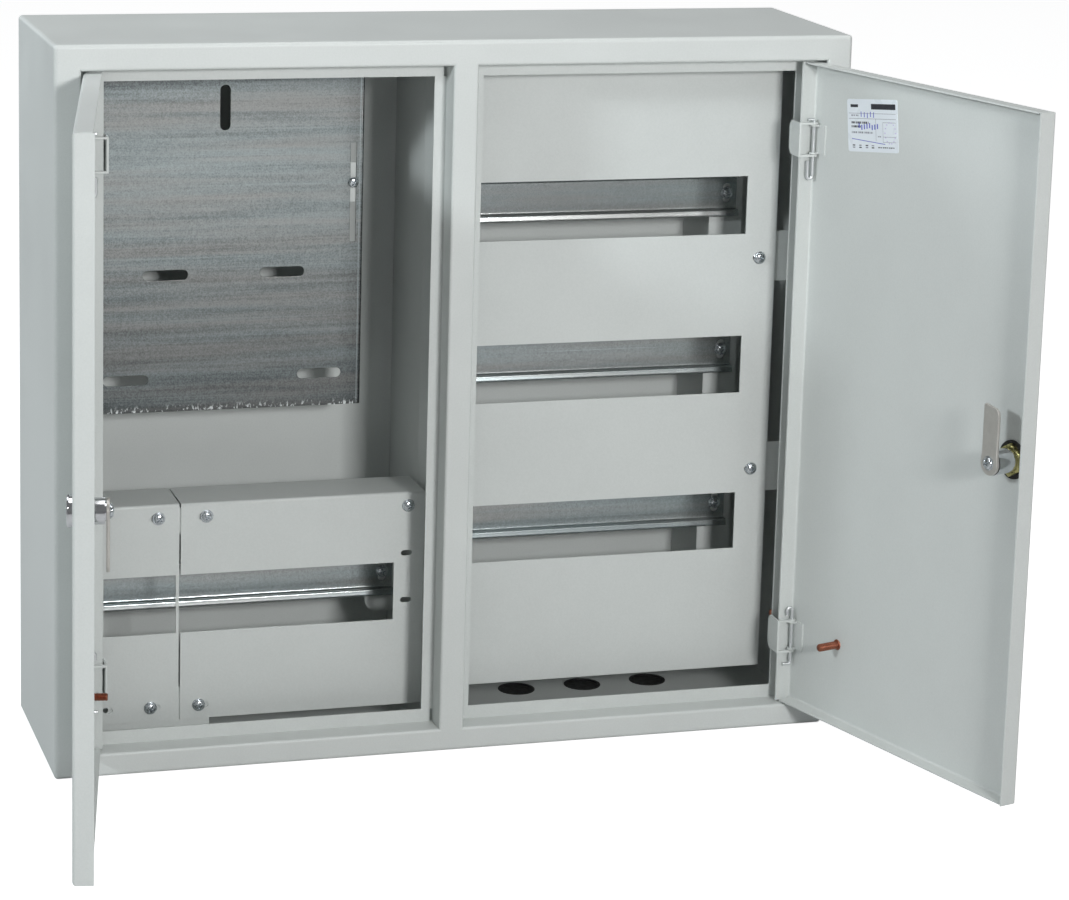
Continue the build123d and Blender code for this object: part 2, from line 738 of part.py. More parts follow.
def door_pan():
    """Sheet door with four flanges, parted by reliefs at the corners."""
    tip = door_face_y + door_flange
    pan = span(door_free_x, door_hinge_x, door_face_y, tip, door_bottom, door_top)
    pan = fillet(pan.faces().sort_by(Axis.Y)[0].edges(), door_bend)
    inner = span(door_free_x + sheet, door_hinge_x - sheet, door_skin_y, tip + 5, door_bottom + sheet,
                 door_top - sheet)
    pan -= fillet(inner.faces().sort_by(Axis.Y)[0].edges(), door_bend - sheet)
    pan -= span(door_free_x + sheet, door_hinge_x - sheet, door_face_y + door_end_flange, tip + 1,
                door_bottom - 1, door_top + 1)
    for x in (door_free_x + sheet, door_hinge_x - sheet - door_notch):
        for z in (door_bottom - 1, door_top - sheet - 0.01):
            pan -= span(x, x + door_notch, door_face_y + door_bend + 1, tip + 1, z, z + sheet + 1.02)
    return pan - hole_cut(lock_x, -lock_drop, barrel_r + loose, door_face_y - 1, door_skin_y + 1)


def along_y(shape):
    """Turn a piece drawn up from z = 0 so that it runs into the cabinet from the door's face."""
    return Pos(lock_x, door_face_y, -lock_drop) * Rot(-90, 0, 0) * shape


def lock_body():
    """Chrome bezel and threaded barrel."""
    bezel = tube(bezel_r, -bezel_height, 0)
    bezel = fillet(bezel.edges().group_by(Axis.Z)[0], 1.6)
    body = bezel + tube(barrel_r, 0, barrel_length)
    body -= tube(core_r + running, -bezel_height - 1, barrel_length + 1)
    body -= tube(core_head_r + running, -bezel_height - 1, -bezel_height + core_head + loose)
    return along_y(body)


def lock_washer():
    return along_y(tube(washer_r, sheet, sheet + washer_thick, bore=barrel_r + loose))


def lock_nut():
    z0 = sheet + washer_thick
    nut = extrude(Plane.XY.offset(z0) * RegularPolygon(nut_across / 2, 6, major_radius=False), nut_thick)
    nut -= tube(barrel_r + running, z0 - 1, z0 + nut_thick + 1)
    return along_y(nut)


def lock_core():
    """Turning core with a key slot, and the square that carries the cam."""
    head_front = -bezel_height
    core = tube(core_head_r, head_front, head_front + core_head)
    core += tube(core_r, head_front + core_head, cam_start)
    core += Pos(0, 0, cam_start + (cam_thick - loose) / 2) * Box(cam_square, cam_square, cam_thick - loose)
    core -= Pos(0, 0, head_front) * Box(1.8, 7.0, 6.0)
    core -= tube(cam_screw_r + running, cam_start - 8, cam_start + cam_thick + 1)
    return along_y(core)


def lock_cam(way):
    """Flat cam that points up or down while unlocked."""
    z0 = cam_start
    outline = Plane.XY.offset(z0) * Circle(cam_width / 2 + 1)
    cam = extrude(outline, cam_thick)
    blade = Pos(0, -way * (cam_reach / 2), z0 + cam_thick / 2) * Box(cam_width, cam_reach, cam_thick)
    tip = [e for e in blade.edges().filter_by(Axis.Z) if way * -e.center().Y > cam_reach / 2]
    cam += fillet(tip, 4.0)
    cam -= Pos(0, 0, z0 + cam_thick / 2) * Box(cam_square + loose, cam_square + loose, cam_thick + 1)
    return along_y(cam)


def lock_screw():
    z0 = cam_start + cam_thick
    head = extrude(Plane.XY.offset(z0) * RegularPolygon(cam_screw_head_r * 0.85, 6), cam_screw_head)
    head += tube(cam_screw_head_r, z0, z0 + 0.8)
    head -= Pos(0, 0, z0 + cam_screw_head) * (Box(5, 0.9, 1.6) + Box(0.9, 5, 1.6))
    return along_y(head + tube(cam_screw_r, z0 - 8, z0))


def door_stud():
    return stud(door_hinge_x - door_stud_along, door_skin_y,
                -half_h + door_stud_from_bottom, (0, 1, 0), stud_length)


def rating_label():
    x1 = door_hinge_x - label_along
    label_z = half_h - label_from_top
    plate = span(x1 - label_width, x1, door_skin_y, door_skin_y + label_thick,
                 label_z - label_height / 2, label_z + label_height / 2)
    return fillet(plate.edges().filter_by(Axis.Y), 2.0)


def door_nodes(side, opened, cam_way):
    for level, z in (("upper", hinge_upper_z), ("lower", hinge_lower_z)):
        save(f"{side}_hinge_bracket_{level}", place(hinge_bracket(z), side))
        save(f"{side}_hinge_leaf_{level}", place(hinge_leaf(z), side, opened))
    save(f"{side}_hinge_pin_upper", place(hinge_pin(hinge_upper_z, -1, 17.0, 1.9, 4.5), side))
    save(f"{side}_hinge_pin_lower", place(hinge_pin(hinge_lower_z, 1, 9.0, 10.0, 6.0), side))
    save(f"{side}_door", place(door_pan(), side, opened))
    save(f"{side}_lock_body", place(lock_body(), side, opened))
    save(f"{side}_lock_washer", place(lock_washer(), side, opened))
    save(f"{side}_lock_nut", place(lock_nut(), side, opened))
    save(f"{side}_lock_core", place(lock_core(), side, opened))
    save(f"{side}_lock_cam", place(lock_cam(cam_way), side, opened))
    save(f"{side}_lock_screw", place(lock_screw(), side, opened))
    save(f"{side}_door_stud", place(door_stud(), side, opened))


# ---------------------------------------------------------------- write every node
os.makedirs("parts", exist_ok=True)
body_nodes()
save("back_panel", back_panel())
save("partition", partition())
save("entry_plugs", *entry_plugs())
save("distribution_cover", distribution_cover())
save("distribution_cover_brackets", *cover_brackets())
save("distribution_cover_catches", *cover_catches())
for rail_name, rail_z in zip(("top", "middle", "bottom"), window_zs):
    save(f"din_rail_{rail_name}", rail(*rail_ends(rail_x, rail_length), rail_z))
save("din_rail_lower_left", rail(*rail_ends(lower_rail_x, lower_rail_length), lower_window_z))
for post_name, post_x in zip(("left", "right"), screw_xs(rail_x, rail_length)):
    save(f"rail_post_{post_name}", rail_post(post_x))
save("rail_screws", *rail_screws())
save("lower_rail_brackets", *lower_rail_brackets())
save("incoming_cover", incoming_cover())
save("row_cover", row_cover())
save("cover_support_upper", cover_support_upper())
save("cover_support_lower", cover_support_lower())
save("cover_screws", *cover_screws())
save("meter_plate", meter_plate())
save("meter_standoffs", *meter_standoffs())
save("meter_plate_screws", *meter_plate_screws())
save("frame_stud", stud(inner_w, front + frame_stud_depth, -half_h + frame_stud_from_bottom, (-1, 0, 0),
                        frame_stud_length))
door_nodes("right", right_open, 1)
door_nodes("left", left_open, -1)
save("rating_label", place(rating_label(), "right", right_open))
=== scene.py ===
import json
import math

import bmesh
import bpy
from mathutils import Matrix, Vector


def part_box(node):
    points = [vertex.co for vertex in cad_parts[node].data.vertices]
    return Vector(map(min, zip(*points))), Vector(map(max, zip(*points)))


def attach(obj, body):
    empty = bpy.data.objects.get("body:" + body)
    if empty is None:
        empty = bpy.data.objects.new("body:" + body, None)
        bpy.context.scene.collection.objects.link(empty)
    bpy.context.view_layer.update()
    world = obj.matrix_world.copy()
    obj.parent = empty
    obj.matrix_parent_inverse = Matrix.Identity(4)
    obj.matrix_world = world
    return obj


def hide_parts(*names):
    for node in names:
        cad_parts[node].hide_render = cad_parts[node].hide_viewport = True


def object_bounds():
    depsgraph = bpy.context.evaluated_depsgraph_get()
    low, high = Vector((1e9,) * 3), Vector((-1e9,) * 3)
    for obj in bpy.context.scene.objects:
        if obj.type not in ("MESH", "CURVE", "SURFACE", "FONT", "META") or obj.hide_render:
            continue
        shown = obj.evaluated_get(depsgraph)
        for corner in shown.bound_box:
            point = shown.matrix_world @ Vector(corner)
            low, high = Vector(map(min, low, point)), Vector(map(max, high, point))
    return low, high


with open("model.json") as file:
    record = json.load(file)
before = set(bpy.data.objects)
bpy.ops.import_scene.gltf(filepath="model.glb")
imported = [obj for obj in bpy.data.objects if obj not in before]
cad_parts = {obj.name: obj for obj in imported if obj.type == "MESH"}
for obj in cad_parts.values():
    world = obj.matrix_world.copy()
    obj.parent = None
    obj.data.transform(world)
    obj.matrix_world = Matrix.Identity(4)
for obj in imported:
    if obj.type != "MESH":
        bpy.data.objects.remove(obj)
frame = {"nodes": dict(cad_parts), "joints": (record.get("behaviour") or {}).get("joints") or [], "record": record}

bl_info = {
    "name": "Two-door switchboard cabinet",
    "version": (1, 0, 0),
    "blender": (4, 5, 0),
    "location": "3D View > Sidebar > Cabinet",
    "description": "Finishes and small hardware for an open two-door switchboard cabinet",
    "category": "Object",
}

MM = 0.001
UP = Vector((0.0, 0.0, 1.0))
CAD_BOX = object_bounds()
RECORD = frame["record"]
BODIES = RECORD["behaviour"]["bodies"]
BODY_OF = {node: body for body, members in BODIES.items() for node in members}
JOINTS = {joint["name"]: joint for joint in frame["joints"]}
MOUNTS = {mount["name"]: mount for mount in RECORD["mounts"]}
SLOT_NODES = {}
for node_name, node_object in frame["nodes"].items():
    for node_material in node_object.data.materials:
        SLOT_NODES.setdefault(node_material.name.split(".")[0], []).append(node_name)


# ---------------- settings

def colour(name, description, default):
    """A colour that a user may change."""
    return bpy.props.FloatVectorProperty(
        name=name, description=description, default=default, size=3,
        min=0.0, max=1.0, subtype="COLOR")


def length(name, description, default):
    """A length in metres."""
    return bpy.props.FloatProperty(
        name=name, description=description, default=default, min=0.0,
        unit="LENGTH", subtype="DISTANCE", precision=5)


def share(name, description, default):
    """A plain number from 0 to 1."""
    return bpy.props.FloatProperty(
        name=name, description=description, default=default, min=0.0, max=1.0, subtype="FACTOR")


def power(name, description, default):
    """A light's power in watts."""
    return bpy.props.FloatProperty(
        name=name, description=description, default=default, min=0.0, max=2000.0, unit="POWER")


class CoatSettings(bpy.types.PropertyGroup):
    """The powder coat."""
    tint: colour("Coat colour", "Light grey of the powder coat", (0.600, 0.629, 0.615))
    roughness: share("Roughness", "How matt the powder coat is", 0.42)
    peel_size: length("Orange peel size", "Distance between the bumps of the coat", 1.3 * MM)
    peel_height: length("Orange peel height", "Height of the bumps of the coat", 0.045 * MM)
    edge_radius: length("Edge radius", "Rounding that the coat gives a cut sheet edge", 0.5 * MM)


class MetalSettings(bpy.types.PropertyGroup):
    """The bare and plated metals."""
    zinc: colour("Zinc", "Zinc coating of the rails and the meter plate", (0.27, 0.305, 0.31))
    zinc_warm: colour("Aged zinc", "Duller, warmer patches of the zinc", (0.26, 0.25, 0.24))
    fastener: colour("Fastener zinc", "Bright zinc of screws and washers", (0.72, 0.76, 0.79))
    wire: colour("Wire", "Zinc plated hinge wire", (0.74, 0.76, 0.77))
    copper: colour("Copper plate", "Copper plated weld studs", (0.42, 0.16, 0.10))
    chrome: colour("Chrome", "Polished lock barrel", (0.80, 0.81, 0.83))
    yellow: colour("Yellow zinc", "Passivated lock nut", (0.58, 0.54, 0.24))
    nickel: colour("Nickel", "Lock cam strip", (0.62, 0.60, 0.565))


class HardwareSettings(bpy.types.PropertyGroup):
    """The screws and studs."""
    recess_width: length("Recess width", "Width of one wing of a screw's cross recess", 1.15 * MM)
    recess_depth: length("Recess depth", "Depth of a screw's cross recess", 1.5 * MM)
    screw_pitch: length("Screw pitch", "Distance between the thread turns of an M4 screw", 0.7 * MM)
    stud_pitch: length("Stud pitch", "Distance between the thread turns of an M6 stud", 1.0 * MM)
    stud_root: length("Stud root radius", "Radius at the bottom of a stud's thread", 2.45 * MM)


class LabelSettings(bpy.types.PropertyGroup):
    """The rating label's print."""
    lean: bpy.props.FloatProperty(
        name="Lean", description="How far the label was stuck on askew", default=math.radians(7.2),
        unit="ROTATION", subtype="ANGLE")
    paper: colour("Label", "Satin face of the self-adhesive label", (0.80, 0.85, 0.90))
    ink: colour("Black ink", "Printed bars and lines", (0.02, 0.02, 0.03))
    grey: colour("Grey ink", "Rules and small print", (0.30, 0.31, 0.36))
    stamp: colour("Stamp ink", "Blue stamped strokes", (0.16, 0.18, 0.62))
    seal: colour("Seal ink", "Pale violet seal", (0.62, 0.55, 0.82))


class StudioSettings(bpy.types.PropertyGroup):
    """The floor and the lights."""
    floor: colour("Floor", "Pale floor", (0.58, 0.58, 0.58))
    floor_glow: share("Floor glow", "Light that the floor gives off towards the camera", 0.85)
    sky: share("Surround", "Strength of the plain surround", 0.175)
    key_power: power("Key light", "Power of the light on the left", 95.0)
    side_power: power("Side light", "Power of the weak light on the left side", 12.0)
    front_power: power("Front light", "Power of the light at the front", 41.0)
    top_power: power("Top light", "Power of the soft light above", 26.0)


# sizes of the M4 screws
M4_CREST, M4_ROOT = 2.0 * MM, 1.62 * MM
M4_BORE = 2.15 * MM
HEAD_HEIGHT = 2.6 * MM
THINNEST_SCREW = 2.0 * MM       # anything flatter in a node of screws is a washer

# colours that don't belong to a setting
# black that the meter plate's painted shade mixes towards
PAINTED_SHADE_BLACK = (0.0, 0.0, 0.0)
# painted highlight of the plate's bend lines, dark band along its foot, painted glints on its burrs
BEND_GLEAM, FOOT_BAND_DARK, BURR_GLINT = (0.42, 0.47, 0.48), (0.05, 0.055, 0.055), (0.80, 0.84, 0.84)
WASHER_BLACK, RUBBER_BLACK = (0.02, 0.02, 0.022), (0.018, 0.018, 0.018)
PLATING_GRAIN = 0.9 * MM        # distance between the bumps of a plated surface

# the label's inks, in the order of its materials
BLACK, GREY, BLUE, VIOLET = range(4)

COOL, WHITE = (0.94, 1.0, 1.03), (1.0, 1.0, 1.0)
# name, place, aim, size and tint; the powers are studio settings
LIGHTS = (
    ("key", (-3.0, -1.55, 1.3), (0.0, -0.2, 4.4), (0.5, 0.5), COOL),
    ("side", (-1.3, 1.0, 0.9), (-0.3, 0.1, 0.9), (0.6, 0.6), COOL),
    ("front", (0.32, -2.6, 0.7), (0.0, -0.1, 1.7), (0.4, 0.4), WHITE),
    ("top", (0.0, -0.3, 2.5), (0.0, -0.1, 0.0), (2.0, 1.6), WHITE),
)
CAMERA_PLACE = (-0.6721, -2.5087, 0.5959)
CAMERA_TURN = (78.2015, -1.5943, -16.9199)      # degrees
CAMERA_LENS, CAMERA_SENSOR, CAMERA_SHIFT = 114.301, 36.0, -0.14967

SETTINGS = {
    "cabinet_coat": CoatSettings,
    "cabinet_metal": MetalSettings,
    "cabinet_hardware": HardwareSettings,
    "cabinet_label": LabelSettings,
    "cabinet_studio": StudioSettings,
}


# ---------------- shader helpers

def shading_group(name, inputs, outputs):
    """A new node group with its input and output nodes."""
    group = bpy.data.node_groups.new(name, "ShaderNodeTree")
    for label, kind, value in inputs:
        socket = group.interface.new_socket(name=label, in_out="INPUT", socket_type=kind)
        socket.default_value = value
    for label, kind in outputs:
        group.interface.new_socket(name=label, in_out="OUTPUT", socket_type=kind)
    return group, group.nodes.new("NodeGroupInput"), group.nodes.new("NodeGroupOutput")


def math_node(tree, operation, first, second=None, clamp=False):
    """A Math node; first and second are sockets or numbers."""
    node = tree.nodes.new("ShaderNodeMath")
    node.operation = operation
    node.use_clamp = clamp
    for socket, value in zip(node.inputs, (first, second)):
        if value is None:
            continue
        if isinstance(value, (int, float)):
            socket.default_value = value
        else:
            tree.links.new(value, socket)
    return node.outputs[0]


def noise(tree, vector, scale, detail=2.0, rough=0.5, stretch=None):
    """Noise over a position; stretch gives a different fineness along each axis."""
    if stretch is not None:
        mapping = tree.nodes.new("ShaderNodeMapping")
        mapping.inputs["Scale"].default_value = stretch
        tree.links.new(vector, mapping.inputs["Vector"])
        vector = mapping.outputs[0]
    node = tree.nodes.new("ShaderNodeTexNoise")
    tree.links.new(vector, node.inputs["Vector"])
    if isinstance(scale, (int, float)):
        node.inputs["Scale"].default_value = scale
    else:
        tree.links.new(scale, node.inputs["Scale"])
    node.inputs["Detail"].default_value = detail
    node.inputs["Roughness"].default_value = rough
    return node.outputs["Fac"]


def ramp(tree, value, low, high, out_low=0.0, out_high=1.0):
    """Map a value from one range to another, without passing its ends."""
    node = tree.nodes.new("ShaderNodeMapRange")
    node.inputs["From Min"].default_value = low
    node.inputs["From Max"].default_value = high
    node.inputs["To Min"].default_value = out_low
    node.inputs["To Max"].default_value = out_high
    tree.links.new(value, node.inputs["Value"])
    return node.outputs[0]


def mix_colour(tree, factor, first, second):
    """Mix two colours, each a socket or a plain colour."""
    node = tree.nodes.new("ShaderNodeMix")
    node.data_type = "RGBA"
    for socket, value in ((node.inputs[0], factor), (node.inputs[6], first), (node.inputs[7], second)):
        if isinstance(value, (int, float)):
            socket.default_value = value
        elif isinstance(value, bpy.types.NodeSocket):
            tree.links.new(value, socket)
        else:
            socket.default_value = (*value[:3], 1.0)
    return node.outputs[2]


def object_place(tree):
    """The position on the piece, in metres."""
    return tree.nodes.new("ShaderNodeTexCoord").outputs["Object"]


def use_group(tree, group, **values):
    """Place a node group with its own input values; gives its outputs."""
    node = tree.nodes.new("ShaderNodeGroup")
    node.node_tree = group
    for label, value in values.items():
        node.inputs[label].default_value = value
    return node.outputs


def surface_group():
    """Fine bumps of a skin: the orange peel of a coat, or the grain of a plated part."""
    name = "Fine Bumps"
    if name in bpy.data.node_groups:
        return bpy.data.node_groups[name]
    group, into, out = shading_group(
        name,
        [("Size", "NodeSocketFloat", 0.001), ("Height", "NodeSocketFloat", 0.00003)],
        [("Height", "NodeSocketFloat"), ("Mask", "NodeSocketFloat")])
    place = object_place(group)
    scale = math_node(group, "DIVIDE", 1.0, into.outputs["Size"])
    fine = noise(group, place, scale, 1.5, 0.55)
    broad = noise(group, place, math_node(group, "MULTIPLY", scale, 0.33), 1.0, 0.5)
    both = math_node(group, "ADD", fine, math_node(group, "MULTIPLY", broad, 0.6))
    group.links.new(math_node(group, "MULTIPLY", both, into.outputs["Height"]), out.inputs["Height"])
    group.links.new(fine, out.inputs["Mask"])
    return group


def cloud_group():
    """Slow patches: uneven film thickness, handling marks and dust."""
    name = "Slow Patches"
    if name in bpy.data.node_groups:
        return bpy.data.node_groups[name]
    group, into, out = shading_group(
        name,
        [("Size", "NodeSocketFloat", 0.08)],
        [("Patch", "NodeSocketFloat"), ("Speck", "NodeSocketFloat")])
    place = object_place(group)
    scale = math_node(group, "DIVIDE", 1.0, into.outputs["Size"])
    patch = ramp(group, noise(group, place, scale, 3.0, 0.6), 0.3, 0.7)
    speck = ramp(group, noise(group, place, math_node(group, "MULTIPLY", scale, 42.0), 1.0, 0.5), 0.72, 0.80)
    group.links.new(patch, out.inputs["Patch"])
    group.links.new(speck, out.inputs["Speck"])
    return group


def grain_group():
    """Rolled zinc sheet: level streaks, short cross ticks and a salt-and-pepper mottle."""
    name = "Rolled Zinc"
    if name in bpy.data.node_groups:
        return bpy.data.node_groups[name]
    group, into, out = shading_group(
        name,
        [("Streak", "NodeSocketFloat", 0.5), ("Mottle", "NodeSocketFloat", 0.5)],
        [("Tone", "NodeSocketFloat"), ("Warm", "NodeSocketFloat"), ("Height", "NodeSocketFloat")])
    place = object_place(group)
    wide = noise(group, place, 1.0, 3.0, 0.65, (5.0, 5.0, 130.0))
    thin = noise(group, place, 1.0, 2.0, 0.6, (7.0, 7.0, 420.0))
    scratch = ramp(group, noise(group, place, 1.0, 1.0, 0.5, (3.0, 3.0, 760.0)), 0.70, 0.76)
    ticks = noise(group, place, 1.0, 1.0, 0.5, (480.0, 480.0, 150.0))
    salt = noise(group, place, 820.0, 2.0, 0.7)
    slow = noise(group, place, 1.0, 2.0, 0.5, (3.5, 3.5, 75.0))
    streak = math_node(group, "ADD", math_node(group, "MULTIPLY", ramp(group, wide, 0.3, 0.7), 0.6),
                       math_node(group, "MULTIPLY", ramp(group, thin, 0.25, 0.75), 0.4))
    mottle = math_node(group, "ADD", math_node(group, "MULTIPLY", ramp(group, salt, 0.3, 0.7), 0.84),
                       math_node(group, "MULTIPLY", ramp(group, ticks, 0.3, 0.7), 0.16))
    tone = math_node(group, "ADD",
                     math_node(group, "MULTIPLY", math_node(group, "SUBTRACT", streak, 0.5), into.outputs["Streak"]),
                     math_node(group, "MULTIPLY", math_node(group, "SUBTRACT", mottle, 0.5), into.outputs["Mottle"]))
    tone = math_node(group, "ADD", tone, math_node(group, "MULTIPLY", scratch, 0.3))
    group.links.new(math_node(group, "ADD", tone, 0.5, True), out.inputs["Tone"])
    group.links.new(ramp(group, math_node(group, "ADD", slow, math_node(group, "MULTIPLY", wide, 0.6)), 0.7, 0.95),
                    out.inputs["Warm"])
    group.links.new(math_node(group, "MULTIPLY", salt, 0.00002), out.inputs["Height"])
    return group


def material(name):
    """An empty node material and its Principled shader."""
    made = bpy.data.materials.new(name)
    made.use_nodes = True
    return made, made.node_tree, made.node_tree.nodes["Principled BSDF"]


def bump(tree, shader, height):
    """Let a height in metres tilt the shader's normal."""
    node = tree.nodes.new("ShaderNodeBump")
    node.inputs["Distance"].default_value = 1.0
    node.inputs["Strength"].default_value = 1.0
    tree.links.new(height, node.inputs["Height"])
    tree.links.new(node.outputs[0], shader.inputs["Normal"])


def powder_coat(settings):
    """Light grey powder coat: fine orange peel, faint patches and a few dust nibs."""
    made, tree, shader = material("powder_coat_finish")
    patches = use_group(tree, cloud_group(), Size=0.09)
    peel = use_group(tree, surface_group(), Size=settings.peel_size, Height=settings.peel_height)
    tint = Vector(settings.tint)
    base = mix_colour(tree, patches["Patch"], tint * 0.975, tint * 1.02)
    peel_tone = math_node(tree, "MULTIPLY", ramp(tree, peel["Mask"], 0.35, 0.65), 0.05)
    base = mix_colour(tree, peel_tone, base, (1.0, 1.0, 1.0))
    base = mix_colour(tree, math_node(tree, "MULTIPLY", patches["Speck"], 0.10), base, tint * 0.55)
    tree.links.new(base, shader.inputs["Base Color"])
    tree.links.new(ramp(tree, patches["Patch"], 0.0, 1.0, settings.roughness - 0.03, settings.roughness + 0.05),
                   shader.inputs["Roughness"])
    bump(tree, shader, peel["Height"])
    return made


def rolled_zinc(settings, name, streak, mottle, rough, lift=1.0, sheet=None):
    """Zinc coated sheet with level streaks; lift brightens it, sheet is the box of a cut and folded plate, which
    then gets painted shade, a painted highlight and painted glints.
    """
    made, tree, shader = material(name)
    grain = use_group(tree, grain_group(), Streak=streak, Mottle=mottle)
    zinc, warm = Vector(settings.zinc) * lift, Vector(settings.zinc_warm) * lift
    bright = mix_colour(tree, grain["Tone"], zinc * 0.52, zinc * 1.42)
    aged = mix_colour(tree, grain["Tone"], warm * 0.62, warm * 1.45)
    base = mix_colour(tree, math_node(tree, "MULTIPLY", grain["Warm"], 0.6), bright, aged)
    # a cut and folded plate gets painted shade, painted highlights and painted glints
    if sheet is not None:
        base = plate_painted_light(tree, base, *sheet)
    tree.links.new(base, shader.inputs["Base Color"])
    shader.inputs["Metallic"].default_value = 0.85
    tree.links.new(ramp(tree, grain["Tone"], 0.0, 1.0, rough + 0.07, rough - 0.08), shader.inputs["Roughness"])
    bump(tree, shader, grain["Height"])
    return made


def plate_painted_light(tree, base, low, high):
    """Painted light on a plate: painted shade that darkens its top, foot and sides, a painted highlight along a bend
    line down each side, and along the sheared foot a dark band with painted glints on its burrs.
    """
    place = object_place(tree)
    axes = tree.nodes.new("ShaderNodeSeparateXYZ")
    tree.links.new(place, axes.inputs[0])
    across, up = axes.outputs["X"], axes.outputs["Z"]
    from_middle = math_node(tree, "ABSOLUTE", math_node(tree, "SUBTRACT", across, (low.x + high.x) / 2))
    from_side = math_node(tree, "SUBTRACT", (high.x - low.x) / 2, from_middle)

    # painted shade: darker towards the foot, the top and each side, mixed towards black
    foot = ramp(tree, up, low.z, low.z + 140 * MM, 0.55, 1.0)
    head = ramp(tree, up, high.z - 90 * MM, high.z, 1.0, 0.62)
    sides = ramp(tree, from_side, 2.0 * MM, 18.0 * MM, 0.72, 1.0)
    unshaded = math_node(tree, "MULTIPLY", math_node(tree, "MULTIPLY", foot, head), sides)
    base = mix_colour(tree, unshaded, PAINTED_SHADE_BLACK, base)

    # painted highlight: a light line 3.2 mm in from each side, where the bend catches the light
    off_line = math_node(tree, "ABSOLUTE", math_node(tree, "SUBTRACT", from_side, 3.2 * MM))
    bend = ramp(tree, off_line, 0.15 * MM, 0.65 * MM, 0.45, 0.0)
    base = mix_colour(tree, bend, base, BEND_GLEAM)

    # a dark band along the bottom 6 mm of the plate, with painted glints in flecks on it
    foot_band = ramp(tree, up, low.z + 0.3 * MM, low.z + 6.0 * MM, 1.0, 0.0)
    glint_flecks = ramp(tree, noise(tree, place, 1.0, 2.0, 0.6, (520.0, 520.0, 260.0)), 0.57, 0.64)
    base = mix_colour(tree, math_node(tree, "MULTIPLY", foot_band, 0.55), base, FOOT_BAND_DARK)
    return mix_colour(tree, math_node(tree, "MULTIPLY", foot_band, glint_flecks), base, BURR_GLINT)


def plated(name, tint, dark, roughness, metallic=1.0, height=0.012 * MM, patch=4 * MM):
    """A plated, printed or moulded small part: slow tone changes and fine bumps."""
    made, tree, shader = material(name)
    patches = use_group(tree, cloud_group(), Size=patch)
    grain = use_group(tree, surface_group(), Size=PLATING_GRAIN, Height=height)
    tint = Vector(tint)
    base = mix_colour(tree, math_node(tree, "MULTIPLY", patches["Patch"], dark), tint, tint * 0.45)
    tree.links.new(base, shader.inputs["Base Color"])
    shader.inputs["Metallic"].default_value = metallic
    tree.links.new(ramp(tree, patches["Patch"], 0.0, 1.0, roughness * 0.8, roughness * 1.25),
                   shader.inputs["Roughness"])
    bump(tree, shader, grain["Height"])
    return made


# ---------------- mesh helpers

def new_piece(name, body, slot, meshes, *materials):
    """Turn a bmesh into an object that rides on a body."""
    mesh = bpy.data.meshes.new(name)
    bmesh.ops.recalc_face_normals(meshes, faces=meshes.faces)
    meshes.to_mesh(mesh)
    meshes.free()
    for made in materials:
        mesh.materials.append(made)
    piece = bpy.data.objects.new(name, mesh)
    bpy.context.scene.collection.objects.link(piece)
    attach(piece, body)
    return piece


def smooth_by_angle(piece, angle=35.0):
    """Smooth shading that stays sharp across steep edges."""
    mesh = piece.data
    for face in mesh.polygons:
        face.use_smooth = True
    mesh.set_sharp_from_angle(angle=math.radians(angle))


def bake(piece):
    """Apply a piece's modifiers to its mesh."""
    bpy.context.view_layer.update()
    shaped = bpy.data.meshes.new_from_object(piece.evaluated_get(bpy.context.evaluated_depsgraph_get()))
    old, piece.data = piece.data, shaped
    piece.modifiers.clear()
    shaped.name = piece.name
    bpy.data.meshes.remove(old)


def arc(centre, radius, start, end, steps):
    """Points of a flat arc; its angles are in degrees."""
    angles = [math.radians(start + (end - start) * step / steps) for step in range(steps + 1)]
    return [(centre[0] + radius * math.cos(angle), centre[1] + radius * math.sin(angle)) for angle in angles]


def skin(meshes, rings, ends=True):
    """Join rings of points, as many in each, with a skin, and close its two ends."""
    for lower, upper in zip(rings, rings[1:]):
        for count in range(len(lower)):
            after = (count + 1) % len(lower)
            meshes.faces.new((lower[count], lower[after], upper[after], upper[count]))
    if ends:
        meshes.faces.new(rings[0][::-1])
        meshes.faces.new(rings[-1])


def facing(direction):
    """Rotation whose Z axis is the direction and whose Y axis is as near up as it can be."""
    z = Vector(direction).normalized()
    x = UP.cross(z)
    if x.length < 1e-6:
        x = Vector((1.0, 0.0, 0.0))
    x.normalize()
    return Matrix((x, z.cross(x), z)).transposed()


def turned(meshes, profile, centre, rotation, sides, shape=None):
    """Turn (radius, height) points about the local Z axis; a radius of 0 closes an end."""
    rings = []
    for radius, height in profile:
        ring = []
        for step in range(1 if radius == 0 else sides):
            angle = 2.0 * math.pi * step / sides
            point = Vector((radius * math.cos(angle), radius * math.sin(angle), height))
            if shape is not None:
                point = shape(point, angle)
            ring.append(meshes.verts.new(centre + rotation @ point))
        rings.append(ring)
    for lower, upper in zip(rings, rings[1:]):
        for step in range(sides):
            after = (step + 1) % sides
            corners = [lower[step % len(lower)], lower[after % len(lower)],
                       upper[after % len(upper)], upper[step % len(upper)]]
            corners = list(dict.fromkeys(corners))
            if len(corners) > 2:
                meshes.faces.new(corners)


def solids(node):
    """The (lowest, highest) corners of each separate solid in a CAD node."""
    copy = bmesh.new()
    copy.from_mesh(frame["nodes"][node].data)
    bmesh.ops.remove_doubles(copy, verts=copy.verts, dist=1e-6)
    seen, found = set(), []
    for start in copy.verts:
        if start in seen:
            continue
        seen.add(start)
        queue, points = [start], []
        while queue:
            vertex = queue.pop()
            points.append(vertex.co.copy())
            for edge in vertex.link_edges:
                other = edge.other_vert(vertex)
                if other not in seen:
                    seen.add(other)
                    queue.append(other)
        found.append((Vector([min(p[i] for p in points) for i in range(3)]),
                      Vector([max(p[i] for p in points) for i in range(3)])))
    copy.free()
    return found


